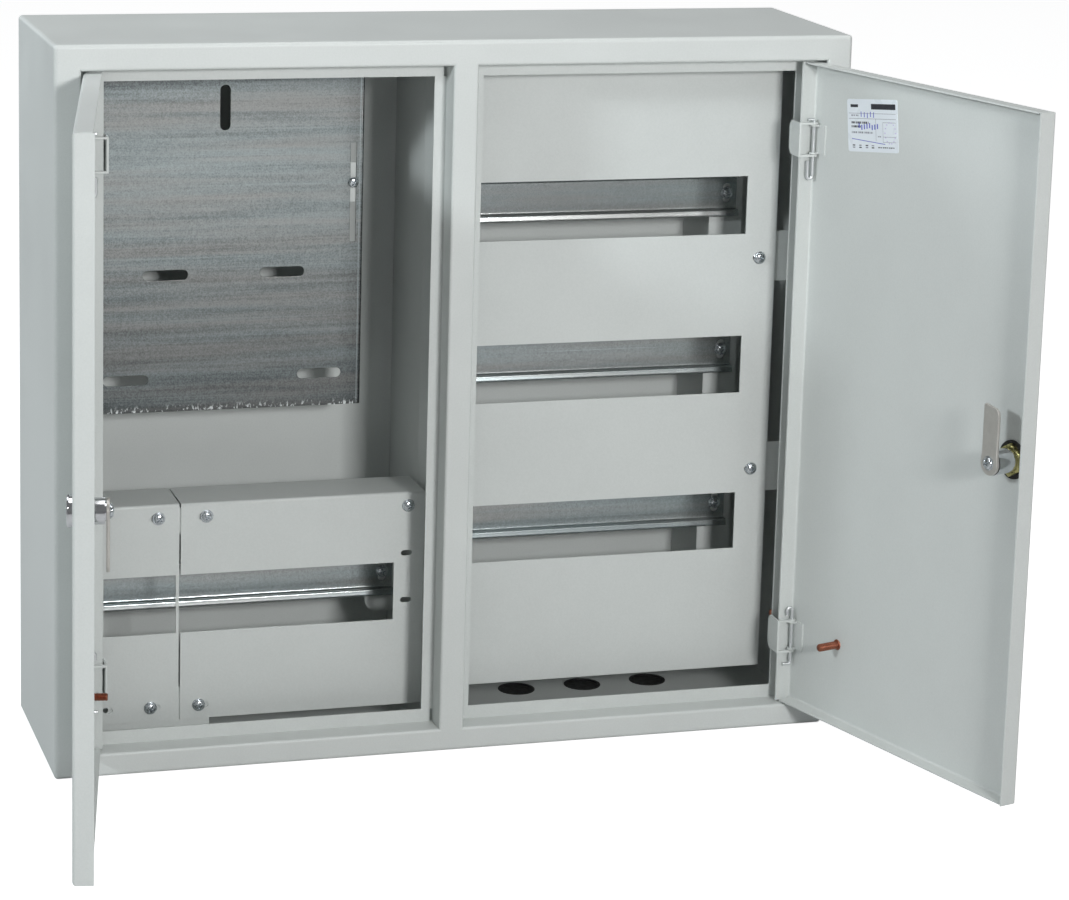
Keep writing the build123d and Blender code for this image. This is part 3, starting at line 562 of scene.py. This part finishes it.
def reach_along(node, start, direction):
    """The least and the most that a CAD node reaches from a point along a direction."""
    reaches = [(vertex.co - start).dot(direction) for vertex in frame["nodes"][node].data.vertices]
    return min(reaches), max(reaches)


def screws_and_washers(node):
    """The (lowest, highest) corners of a node's screws, and of its washers."""
    screws, washers = [], []
    for low, high in solids(node):
        (screws if high.y - low.y >= THINNEST_SCREW else washers).append((low, high))
    return screws, washers


def cross_recess(width, depth, reach, turn):
    """A cross recess pressed into a screw head; turn is how far the screw was tightened."""
    end_slope, side_slope = reach * 0.35, width * 0.22

    def press(point, angle):
        radius = math.hypot(point.x, point.y)
        if radius > reach * 1.25 or point.z <= 0:
            return point
        x = radius * math.cos(angle - turn)
        y = radius * math.sin(angle - turn)
        deepest = 0.0
        for along, across in ((abs(x), abs(y)), (abs(y), abs(x))):
            end = min(max((reach - along) / end_slope, 0.0), 1.0)
            side = min(max((width / 2 - across) / side_slope, 0.0), 1.0)
            deepest = max(deepest, end * side)
        point.z -= depth * deepest
        return point
    return press


def pan_head(meshes, centre, rotation, radius, height, hardware, turn):
    """A domed pan head, its seat at the centre, with a cross recess in its top."""
    rim = height * 0.42
    steps = 16
    rings = [(0.0, 0.0), (radius * 0.96, 0.0), (radius, rim * 0.25), (radius, rim * 0.7)]
    for step in range(steps + 1):
        out = 1.0 - step / steps
        rise = math.sqrt(max(0.0, 1.0 - out ** 2.6))
        rings.append((radius * out, rim + (height - rim) * rise))
    turned(meshes, rings, centre, rotation, 48,
           cross_recess(hardware.recess_width, hardware.recess_depth, radius * 0.62, turn))


def flat_washer(meshes, seat, rotation, bore, radius, thick, shoulder, chamfer):
    """A flat washer, its outer edge chamfered above the shoulder's height."""
    turned(meshes, [(bore, 0.0), (radius, 0.0), (radius, shoulder), (radius - chamfer, thick),
                    (bore, thick), (bore, 0.0)], seat, rotation, 40)


def thread(meshes, centre, rotation, start, end, crest, root, pitch, sides):
    """A helical thread from start to end along the local Z axis, with chamfered ends."""
    rows = max(int((end - start) / pitch * 6), 6)
    heights = [start + (end - start) * row / rows for row in range(rows + 1)]
    profile = [(0.0, start)] + [(crest, height) for height in heights] + [(0.0, end)]
    chamfer, tip = pitch * 0.8, root * 0.92

    def cut(point, angle):
        if point.x == 0.0 and point.y == 0.0:
            return point
        phase = (point.z / pitch - angle / (2.0 * math.pi)) % 1.0
        radius = root + (crest - root) * (1.0 - abs(2.0 * phase - 1.0)) ** 0.8
        near_end = min(end - point.z, point.z - start) / chamfer
        radius = min(radius, tip + (crest - tip) * min(max(near_end, 0.0), 1.0))
        return Vector((radius * math.cos(angle), radius * math.sin(angle), point.z))

    turned(meshes, profile, centre, rotation, sides, cut)


# ---------------- finishes

def dress(nodes, made):
    """Give CAD nodes a finish."""
    for node in nodes:
        slots = frame["nodes"][node].data.materials
        for place in range(len(slots)):
            slots[place] = made


def round_edges(nodes, radius):
    """Round the cut edges of CAD sheet so that they catch the light."""
    for node in nodes:
        piece = frame["nodes"][node]
        weld = piece.modifiers.new("join corners", "WELD")
        weld.merge_threshold = 1e-6
        flat = piece.modifiers.new("merge flats", "DECIMATE")
        flat.decimate_type = "DISSOLVE"
        flat.angle_limit = math.radians(0.5)
        bevel = piece.modifiers.new("soft edges", "BEVEL")
        bevel.width = radius
        bevel.segments = 2
        bevel.limit_method = "ANGLE"
        bevel.angle_limit = math.radians(40.0)
        bevel.harden_normals = True


class CABINET_OT_coat_sheet(bpy.types.Operator):
    """Powder coat the housing, doors, covers and brackets"""
    bl_idname = "cabinet.coat_sheet"
    bl_label = "Coat sheet metal"

    def execute(self, context):
        settings = context.scene.cabinet_coat
        dress(SLOT_NODES["powder_coat"], powder_coat(settings))
        round_edges([node for node in SLOT_NODES["powder_coat"] if node.endswith("_cover")], settings.edge_radius)
        return {"FINISHED"}


class CABINET_OT_finish_zinc(bpy.types.Operator):
    """Give the rails and the meter plate their zinc finish"""
    bl_idname = "cabinet.finish_zinc"
    bl_label = "Finish zinc sheet"

    def execute(self, context):
        metal = context.scene.cabinet_metal
        plate = rolled_zinc(metal, "meter_plate_zinc", 1.15, 0.95, 0.36, 1.0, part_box("meter_plate"))
        rail = rolled_zinc(metal, "rail_zinc", 0.30, 0.42, 0.24, 1.6)
        dress(SLOT_NODES["zinc"], rail)
        dress(["meter_plate"], plate)
        round_edges(["meter_plate"], 0.4 * MM)
        for node in SLOT_NODES["zinc"]:
            if node.startswith("din_rail"):
                self.roll_rail(node, rail)
        return {"FINISHED"}

    def roll_rail(self, node, finish):
        """A top-hat rail with rounded bends, a slot for each end screw and lips that spring out a little."""
        low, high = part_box(node)
        middle = (low.z + high.z) / 2
        front, back = self.section((high.z - low.z) / 2, high.y - low.y)
        loop = front + back[::-1]
        meshes = bmesh.new()
        ends = [[meshes.verts.new((x, high.y + y, middle + z)) for z, y in loop] for x in (low.x, high.x)]
        skin(meshes, ends, ends=False)
        for ring, order in zip(ends, (1, -1)):
            for count in range(len(front) - 1):
                far = len(loop) - 1 - count
                quad = [ring[count], ring[count + 1], ring[far - 1], ring[far]]
                meshes.faces.new(quad[::order])
        piece = new_piece(f"{node}_rolled", BODY_OF[node], "zinc", meshes, finish)
        screws = [(a + b) / 2 for a, b in screws_and_washers("rail_screws")[0]]
        places = sorted(screw.x for screw in screws if abs(screw.z - middle) < 20 * MM and low.x < screw.x < high.x)
        cutter = self.slot_cutter(places, middle, high.y - 4 * MM, high.y + 2 * MM)
        punch = piece.modifiers.new("slots", "BOOLEAN")
        punch.operation = "DIFFERENCE"
        punch.object = cutter
        bake(piece)
        bpy.data.objects.remove(cutter)
        smooth_by_angle(piece, 40)
        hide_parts(node)

    def section(self, half, deep):
        """The front and the back line of a rail's section as (height, depth) points, from its foot to its head."""
        thick, web, bend, spring, tip = 1.0 * MM, 12.5 * MM, 1.3 * MM, 0.7 * MM, 0.45 * MM
        line = [(-half, -deep + tip), (-half + 0.12 * MM, -deep + 0.12 * MM), (-half + tip, -deep),
                (-half + 1.6 * MM, -deep + spring * 0.35)]
        line += arc((-web - bend, -deep + spring + bend), bend, -90, 0, 6)
        line += arc((-web + bend, -thick - bend), bend, 180, 90, 6)
        front = line + [(-z, y) for z, y in reversed(line)]
        back = []
        for count, (z, y) in enumerate(front):
            before, after = front[max(count - 1, 0)], front[min(count + 1, len(front) - 1)]
            tangent = Vector((after[0] - before[0], after[1] - before[1])).normalized()
            back.append((z - tangent.y * thick, min(y + tangent.x * thick, 0.0)))
        return front, back

    def slot_cutter(self, places, middle, front, back):
        """Upright slots at places along X, cut from front to back."""
        radius, reach, steps = 3.1 * MM, 4.6 * MM, 24
        meshes = bmesh.new()
        for x in places:
            outline = []
            for step in range(steps):
                angle = 2 * math.pi * step / steps
                end = middle + (reach if math.cos(angle) > 0 else -reach)
                outline.append((x + radius * math.sin(angle), end + radius * math.cos(angle)))
            skin(meshes, [[meshes.verts.new((px, y, pz)) for px, pz in outline] for y in (front, back)])
        bmesh.ops.recalc_face_normals(meshes, faces=meshes.faces)
        shape = bpy.data.meshes.new("slot_cutter")
        meshes.to_mesh(shape)
        meshes.free()
        cutter = bpy.data.objects.new("slot_cutter", shape)
        bpy.context.scene.collection.objects.link(cutter)
        return cutter


class CABINET_OT_make_screws(bpy.types.Operator):
    """Replace the plain screws with pan heads, cross recesses, washers and threads"""
    bl_idname = "cabinet.make_screws"
    bl_label = "Make screws"

    def execute(self, context):
        hardware = context.scene.cabinet_hardware
        finish = plated("screw_zinc_finish", context.scene.cabinet_metal.fastener, 0.5, 0.24)
        rotation = facing((0.0, -1.0, 0.0))
        for node in SLOT_NODES["screw_zinc"]:
            meshes = bmesh.new()
            screws, washers = screws_and_washers(node)
            if not screws:
                raise RuntimeError(f"{node} has no screws")
            for count, (low, high) in enumerate(screws):
                middle = (low + high) / 2
                seat = low.y + HEAD_HEIGHT
                for washer_low, washer_high in washers:
                    off = (washer_low + washer_high) / 2 - middle
                    if abs(off.x) < MM and abs(off.z) < MM:
                        seat = washer_low.y
                        thick = washer_high.y - washer_low.y
                        flat_washer(meshes, Vector((middle.x, washer_high.y, middle.z)), rotation, M4_BORE,
                                    (washer_high.x - washer_low.x) / 2, thick, thick * 0.7, 0.25 * MM)
                centre = Vector((middle.x, seat, middle.z))
                pan_head(meshes, centre, rotation, (high.x - low.x) / 2, seat - low.y, hardware, 0.9 + 1.7 * count)
                thread(meshes, centre, rotation, seat - high.y, -0.05 * MM, M4_CREST, M4_ROOT,
                       hardware.screw_pitch, 16)
            piece = new_piece(f"{node}_detailed", BODY_OF[node], "screw_zinc", meshes, finish)
            smooth_by_angle(piece)
            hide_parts(node)
        return {"FINISHED"}


class CABINET_OT_make_studs(bpy.types.Operator):
    """Cut the threads of the copper plated earth studs and add their weld collars"""
    bl_idname = "cabinet.make_studs"
    bl_label = "Make earth studs"

    def execute(self, context):
        hardware = context.scene.cabinet_hardware
        finish = plated("copper_plate_finish", context.scene.cabinet_metal.copper, 0.55, 0.34)
        for mount, node in (("frame_earth_stud", "frame_stud"),
                            ("right_door_earth_stud", "right_door_stud"),
                            ("left_door_earth_stud", "left_door_stud")):
            facts = MOUNTS[mount]
            axis = Vector(facts["axis"]).normalized()
            reach = (facts["dims"]["length_mm"] + 0.6) * MM
            crest = facts["dims"]["r_mm"] * MM
            root = Vector(facts["pos_m"]) - axis * reach / 2
            rotation = facing(axis)
            meshes = bmesh.new()
            collar = 4.15 * MM
            turned(meshes, [(0.0, 0.0), (collar, 0.0), (collar, 0.35 * MM), (collar * 0.93, 0.7 * MM),
                            (crest * 1.02, 0.95 * MM), (0.0, 0.95 * MM)], root, rotation, 32)
            thread(meshes, root, rotation, 0.6 * MM, reach, crest, hardware.stud_root, hardware.stud_pitch, 28)
            piece = new_piece(f"{node}_threaded", BODY_OF[node], "copper_plate", meshes, finish)
            smooth_by_angle(piece, 50)
            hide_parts(node)
        return {"FINISHED"}


class CABINET_OT_finish_hinges(bpy.types.Operator):
    """Give the hinge wires their drawn zinc finish"""
    bl_idname = "cabinet.finish_hinges"
    bl_label = "Finish hinge pins"

    def execute(self, context):
        wire = plated("zinc_wire_finish", context.scene.cabinet_metal.wire, 0.12, 0.34, metallic=0.85)
        dress(SLOT_NODES["zinc_wire"], wire)
        return {"FINISHED"}


class CABINET_OT_make_locks(bpy.types.Operator):
    """Finish the cam locks: barrels, nuts, washers, cams and cam screws"""
    bl_idname = "cabinet.make_locks"
    bl_label = "Make locks"

    def execute(self, context):
        metal, hardware = context.scene.cabinet_metal, context.scene.cabinet_hardware
        yellow = plated("yellow_zinc_finish", metal.yellow, 0.35, 0.30)
        nickel = plated("nickel_finish", metal.nickel, 0.25, 0.40, metallic=0.7, patch=12 * MM)
        bright = plated("cam_screw_finish", metal.fastener, 0.4, 0.16)
        dress(SLOT_NODES["chrome"], plated("chrome_finish", metal.chrome, 0.25, 0.10, height=0.004 * MM))
        dress(SLOT_NODES["yellow_zinc"], yellow)
        dress(SLOT_NODES["cam_steel"], nickel)
        dress(SLOT_NODES["black_washer"], plated("black_washer_finish", WASHER_BLACK, 0.4, 0.6, metallic=0.0))
        for side in ("left", "right"):
            joint = JOINTS[f"{side}_lock_turn"]
            inward, pivot = -Vector(joint["axis"]).normalized(), Vector(joint["pos_m"])
            self.drive_screw(side, pivot, inward, hardware, bright)
            self.cut_nut(side, pivot, inward, yellow)
            self.stamp_cam(side, pivot, inward, nickel)
        return {"FINISHED"}

    def drive_screw(self, side, pivot, inward, hardware, finish):
        """The pan-head screw and washer that hold a cam on its core."""
        node, rotation = f"{side}_lock_screw", facing(inward)
        deepest, tallest = reach_along(node, pivot, inward)
        face = reach_along(f"{side}_lock_cam", pivot, inward)[1]
        seat = face + 0.5 * MM
        centre = pivot + inward * seat
        meshes = bmesh.new()
        flat_washer(meshes, pivot + inward * face, rotation, 2.1 * MM, 5.2 * MM, 0.55 * MM, 0.4 * MM, 0.3 * MM)
        pan_head(meshes, centre, rotation, 4.3 * MM, tallest - seat, hardware, 0.5)
        thread(meshes, centre, rotation, deepest - seat, 0.05 * MM, M4_CREST, M4_ROOT, hardware.screw_pitch, 16)
        piece = new_piece(f"{node}_detailed", BODY_OF[node], "cam_steel", meshes, finish)
        smooth_by_angle(piece)
        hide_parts(node)

    def cut_nut(self, side, pivot, inward, finish):
        """A thin hexagon nut with chamfered corners and a plain bore, chamfered at one end."""
        node = f"{side}_lock_nut"
        seat = reach_along(node, pivot, inward)[0]
        thick, flat, bore = 3.2 * MM, 10.6 * MM, 9.05 * MM
        tip = flat / math.cos(math.pi / 6)

        def hexagon(point, angle):
            radius = math.hypot(point.x, point.y)
            if radius <= bore * 1.01:
                return point
            off_flat = (angle + math.pi / 6) % (math.pi / 3) - math.pi / 6
            reach = min(radius, flat / math.cos(off_flat))
            return Vector((reach * math.cos(angle), reach * math.sin(angle), point.z))

        meshes = bmesh.new()
        turned(meshes, [(bore, 0.0), (flat * 1.03, 0.0), (tip, 0.5 * MM), (tip, thick - 0.7 * MM), (flat, thick),
                        (bore + 0.6 * MM, thick), (bore, thick - 0.5 * MM), (bore, 0.0)],
               pivot + inward * seat, facing(inward), 96, hexagon)
        piece = new_piece(f"{node}_chamfered", BODY_OF[node], "yellow_zinc", meshes, finish)
        smooth_by_angle(piece, 28)
        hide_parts(node)

    def stamp_cam(self, side, pivot, inward, finish):
        """A stamped cam strip: round at the screw, one square and one rounded corner at its tip."""
        node, rotation = f"{side}_lock_cam", facing(inward)
        low, high = reach_along(node, pivot, inward)
        down, up = reach_along(node, pivot, UP)
        way = 1.0 if up > -down else -1.0
        reach = max(up, -down)
        half, boss, corner, worn = 7.8 * MM, 8.9 * MM, 5.0 * MM, 0.25 * MM
        outline = arc((0.0, 0.0), boss, 180, 360, 24)
        outline += [(half, 7.5 * MM), (half, reach - 1.0 * MM), (half - 1.0 * MM, reach)]
        outline += arc((corner - half, reach - 1.6 * MM - corner), corner, 90, 180, 8)
        outline.append((-half, 7.5 * MM))
        meshes = bmesh.new()
        rings = []
        for height, inset in ((low, worn), (low + worn, 0.0), (high - worn, 0.0), (high, worn)):
            ring = []
            for x, y in outline:
                shrink = way * (1.0 - inset / math.hypot(x, y))
                point = Vector((-x * shrink, y * shrink, 0.0))
                ring.append(meshes.verts.new(pivot + inward * height + rotation @ point))
            rings.append(ring)
        skin(meshes, rings)
        piece = new_piece(f"{node}_stamped", BODY_OF[node], "cam_steel", meshes, finish)
        smooth_by_angle(piece, 40)
        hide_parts(node)


class CABINET_OT_print_label(bpy.types.Operator):
    """Print generic bars, rules and stamp strokes on the door's rating label"""
    bl_idname = "cabinet.print_label"
    bl_label = "Print label"

    def execute(self, context):
        settings = context.scene.cabinet_label
        paper = plated("label_paper", settings.paper, 0.06, 0.30, metallic=0.0, height=0.004 * MM, patch=20 * MM)
        inks = [plated(f"label_{name}", tint, 0.3, 0.45, metallic=0.0, height=0.002 * MM, patch=2 * MM)
                for name, tint in (("ink", settings.ink), ("grey", settings.grey),
                                   ("blue", settings.stamp), ("violet", settings.seal))]
        width, height, at = self.face(settings.lean)
        self.cut_sheet(width, height, at, paper)
        self.print_marks(at, inks)
        return {"FINISHED"}

    def face(self, lean):
        """The label's width and height, and a function that places a share of them at a lift off its face."""
        node, start = "rating_label", Vector((0.0, 0.0, 0.0))
        outward = Vector(MOUNTS["right_door_earth_stud"]["axis"]).normalized()
        along = UP.cross(outward).normalized()
        front = reach_along(node, start, outward)[1]
        left, right = reach_along(node, start, along)
        low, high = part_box("rating_label")
        width, height = right - left, high.z - low.z
        middle = along * (left + right) / 2 + UP * (low.z + high.z) / 2

        def at(u, v, lift):
            """The point at u across and v down, both as shares of the label."""
            x, z = (u - 0.5) * width, (0.5 - v) * height
            return outward * (front + lift) + middle \
                + along * (x * math.cos(lean) - z * math.sin(lean)) \
                + UP * (x * math.sin(lean) + z * math.cos(lean))

        return width, height, at

    def cut_sheet(self, width, height, at, paper):
        """The label's sheet, with rounded corners and a slightly eased edge."""
        corner, thick, edge, ease = 2.0 * MM, 0.2 * MM, 0.04 * MM, 0.998
        outline = []
        for cx, cy, start in ((1, 0, -90), (1, 1, 0), (0, 1, 90), (0, 0, 180)):
            centre = (cx * width + (1 - 2 * cx) * corner, cy * height + (1 - 2 * cy) * corner)
            outline += [(x / width, y / height) for x, y in arc(centre, corner, start, start + 90, 6)]
        sheet = bmesh.new()
        rings = [[sheet.verts.new(at(u, v, lift)) for u, v in outline] for lift in (-thick, -edge)]
        rings.append([sheet.verts.new(at(0.5 + (u - 0.5) * ease, 0.5 + (v - 0.5) * ease, 0.0)) for u, v in outline])
        skin(sheet, rings)
        label = new_piece("rating_label_sheet", BODY_OF["rating_label"], "label", sheet, paper)
        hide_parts("rating_label")

    def print_marks(self, at, inks):
        """Plain bars, rules, dashes and strokes, each a thin raised bar; none of them is a letter."""
        meshes = bmesh.new()

        def bar(u, v, wide, tall, ink, drop=0.0):
            """A printed bar: u, v is its top left as a share of the label; drop lowers its right end."""
            corners = ((u, v), (u + wide, v + drop), (u + wide, v + drop + tall), (u, v + tall))
            under = [meshes.verts.new(at(x, y, -0.01 * MM)) for x, y in corners]
            over = [meshes.verts.new(at(x, y, 0.02 * MM)) for x, y in corners]
            faces = [over, under[::-1]]
            faces += [[under[i], under[(i + 1) % 4], over[(i + 1) % 4], over[i]] for i in range(4)]
            for corner_list in faces:
                meshes.faces.new(corner_list).material_index = ink

        def dashes(u, v, until, tall, ink, seed):
            """A run of short dashes of uneven length that reads as small print from afar."""
            step = 0
            while u < until:
                wide = 0.010 + 0.007 * ((seed * 7 + step * 5) % 4)
                bar(u, v, min(wide, until - u), tall, ink)
                u += wide + 0.008 + (0.010 if (step + seed) % 4 == 3 else 0.0)
                step += 1

        bar(0.48, 0.085, 0.48, 0.105, BLACK)
        bar(0.07, 0.10, 0.15, 0.055, BLACK)
        for v in (0.265, 0.365):
            bar(0.03, v, 0.93, 0.008, GREY)
        for u, v, tall in ((0.56, 0.365, 0.42), (0.70, 0.43, 0.38)):
            bar(u, v, 0.005, tall, GREY)
        for v in (0.43, 0.70, 0.80):
            bar(0.70, v, 0.26, 0.007, GREY)
        for seed, run in enumerate(((0.08, 0.295, 0.22, 0.028, GREY), (0.08, 0.425, 0.42, 0.040, BLACK),
                                    (0.08, 0.500, 0.26, 0.040, BLACK), (0.08, 0.615, 0.50, 0.034, GREY),
                                    (0.60, 0.895, 0.92, 0.022, BLACK), (0.60, 0.690, 0.68, 0.022, GREY)), 1):
            dashes(*run, seed)
        for count in range(5):
            bar(0.27 + 0.062 * count, 0.235 + 0.010 * (count % 3), 0.016, 0.10, BLUE)
        for count in range(8):
            bar(0.22 + 0.052 * count, 0.450 + 0.012 * ((count * 3) % 4), 0.024, 0.095, BLUE)
        bar(0.08, 0.745, 0.66, 0.014, BLUE, 0.09)
        for count, u in enumerate((0.09, 0.22, 0.35, 0.47)):
            bar(u, 0.865, 0.050, 0.022, (BLACK, GREY)[count % 2])
            bar(u, 0.905, 0.050, 0.022, (GREY, BLACK)[count % 2])
        for count in range(14):
            angle = 2 * math.pi * count / 14
            bar(0.835 + 0.105 * math.cos(angle), 0.62 + 0.20 * math.sin(angle), 0.024, 0.020, VIOLET)
        piece = new_piece("rating_label_print", BODY_OF["rating_label"], "label", meshes, *inks)
        if len(piece.data.polygons) < 6:
            raise RuntimeError("the label has no print")


class CABINET_OT_finish_entries(bpy.types.Operator):
    """Give the cable entries their black membranes"""
    bl_idname = "cabinet.finish_entries"
    bl_label = "Finish cable entries"

    def execute(self, context):
        dress(SLOT_NODES["grommet"], plated("membrane_rubber", RUBBER_BLACK, 0.4, 0.55, metallic=0.0))
        return {"FINISHED"}


def area_light(name, power, place, aim, size, tint):
    """A soft rectangular light."""
    lamp = bpy.data.lights.new(name, "AREA")
    lamp.shape = "RECTANGLE"
    lamp.size, lamp.size_y = size
    lamp.energy = power
    lamp.color = tint
    holder = bpy.data.objects.new(name, lamp)
    bpy.context.scene.collection.objects.link(holder)
    holder.location = place
    holder.rotation_euler = (Vector(aim) - Vector(place)).to_track_quat("-Z", "Y").to_euler()


class CABINET_OT_set_stage(bpy.types.Operator):
    """Lay the pale floor, hang the soft lights and place the camera"""
    bl_idname = "cabinet.set_stage"
    bl_label = "Set stage"

    def execute(self, context):
        scene, studio = context.scene, context.scene.cabinet_studio
        scene.view_settings.view_transform = "Standard"
        self.lay_floor(scene, studio)
        world = bpy.data.worlds.new("studio")
        world.use_nodes = True
        surround = world.node_tree.nodes["Background"].inputs
        surround["Color"].default_value = (0.97, 0.985, 1.0, 1.0)
        surround["Strength"].default_value = studio.sky
        scene.world = world
        for name, *spot in LIGHTS:
            area_light(name, getattr(studio, f"{name}_power"), *spot)
        self.place_camera(scene)
        return {"FINISHED"}

    def lay_floor(self, scene, studio):
        """A wide pale floor at the object's foot that looks plain white to the camera."""
        made, tree, shader = material("studio_floor")
        patches = use_group(tree, cloud_group(), Size=0.8)
        tint = Vector(studio.floor)
        tree.links.new(mix_colour(tree, patches["Patch"], tint * 0.985, tint), shader.inputs["Base Color"])
        shader.inputs["Roughness"].default_value = 0.75
        shader.inputs["Emission Color"].default_value = (1.0, 1.0, 1.0, 1.0)
        seen = tree.nodes.new("ShaderNodeLightPath").outputs["Is Camera Ray"]
        tree.links.new(math_node(tree, "MULTIPLY", seen, studio.floor_glow), shader.inputs["Emission Strength"])
        meshes = bmesh.new()
        bmesh.ops.create_grid(meshes, x_segments=24, y_segments=24, size=9.0)
        mesh = bpy.data.meshes.new("floor")
        meshes.to_mesh(mesh)
        meshes.free()
        mesh.materials.append(made)
        floor = bpy.data.objects.new("floor", mesh)
        scene.collection.objects.link(floor)
        floor.location = (0.0, 0.0, CAD_BOX[0][2])

    def place_camera(self, scene):
        """The camera, in front of the cabinet, to its left and a little above it."""
        view = bpy.data.cameras.new("camera")
        view.sensor_width, view.lens, view.shift_y = CAMERA_SENSOR, CAMERA_LENS, CAMERA_SHIFT
        camera = bpy.data.objects.new("camera", view)
        scene.collection.objects.link(camera)
        camera.location = CAMERA_PLACE
        camera.rotation_euler = [math.radians(angle) for angle in CAMERA_TURN]
        scene.camera = camera


OPERATORS = (
    CABINET_OT_coat_sheet,
    CABINET_OT_finish_zinc,
    CABINET_OT_make_screws,
    CABINET_OT_make_studs,
    CABINET_OT_finish_hinges,
    CABINET_OT_make_locks,
    CABINET_OT_print_label,
    CABINET_OT_finish_entries,
    CABINET_OT_set_stage,
)


class CABINET_PT_panel(bpy.types.Panel):
    """The cabinet's makers and their settings"""
    bl_idname = "CABINET_PT_panel"
    bl_label = "Switchboard cabinet"
    bl_space_type = "VIEW_3D"
    bl_region_type = "UI"
    bl_category = "Cabinet"

    def draw(self, context):
        for operator in OPERATORS:
            self.layout.operator(operator.bl_idname)
        for attribute, group in SETTINGS.items():
            box = self.layout.box()
            for key in group.__annotations__:
                box.prop(getattr(context.scene, attribute), key)


def register():
    """Register the settings, the makers and the panel."""
    for attribute, group in SETTINGS.items():
        bpy.utils.register_class(group)
        setattr(bpy.types.Scene, attribute, bpy.props.PointerProperty(type=group))
    for operator in OPERATORS:
        bpy.utils.register_class(operator)
    bpy.utils.register_class(CABINET_PT_panel)


def unregister():
    """Take back what register did."""
    bpy.utils.unregister_class(CABINET_PT_panel)
    for operator in reversed(OPERATORS):
        bpy.utils.unregister_class(operator)
    for attribute, group in reversed(list(SETTINGS.items())):
        delattr(bpy.types.Scene, attribute)
        bpy.utils.unregister_class(group)


def main():
    """Make the cabinet."""
    register()
    for operator in OPERATORS:
        family, action = operator.bl_idname.split(".")
        getattr(getattr(bpy.ops, family), action)()
    bpy.context.view_layer.update()


if __name__ == "__main__":
    main()
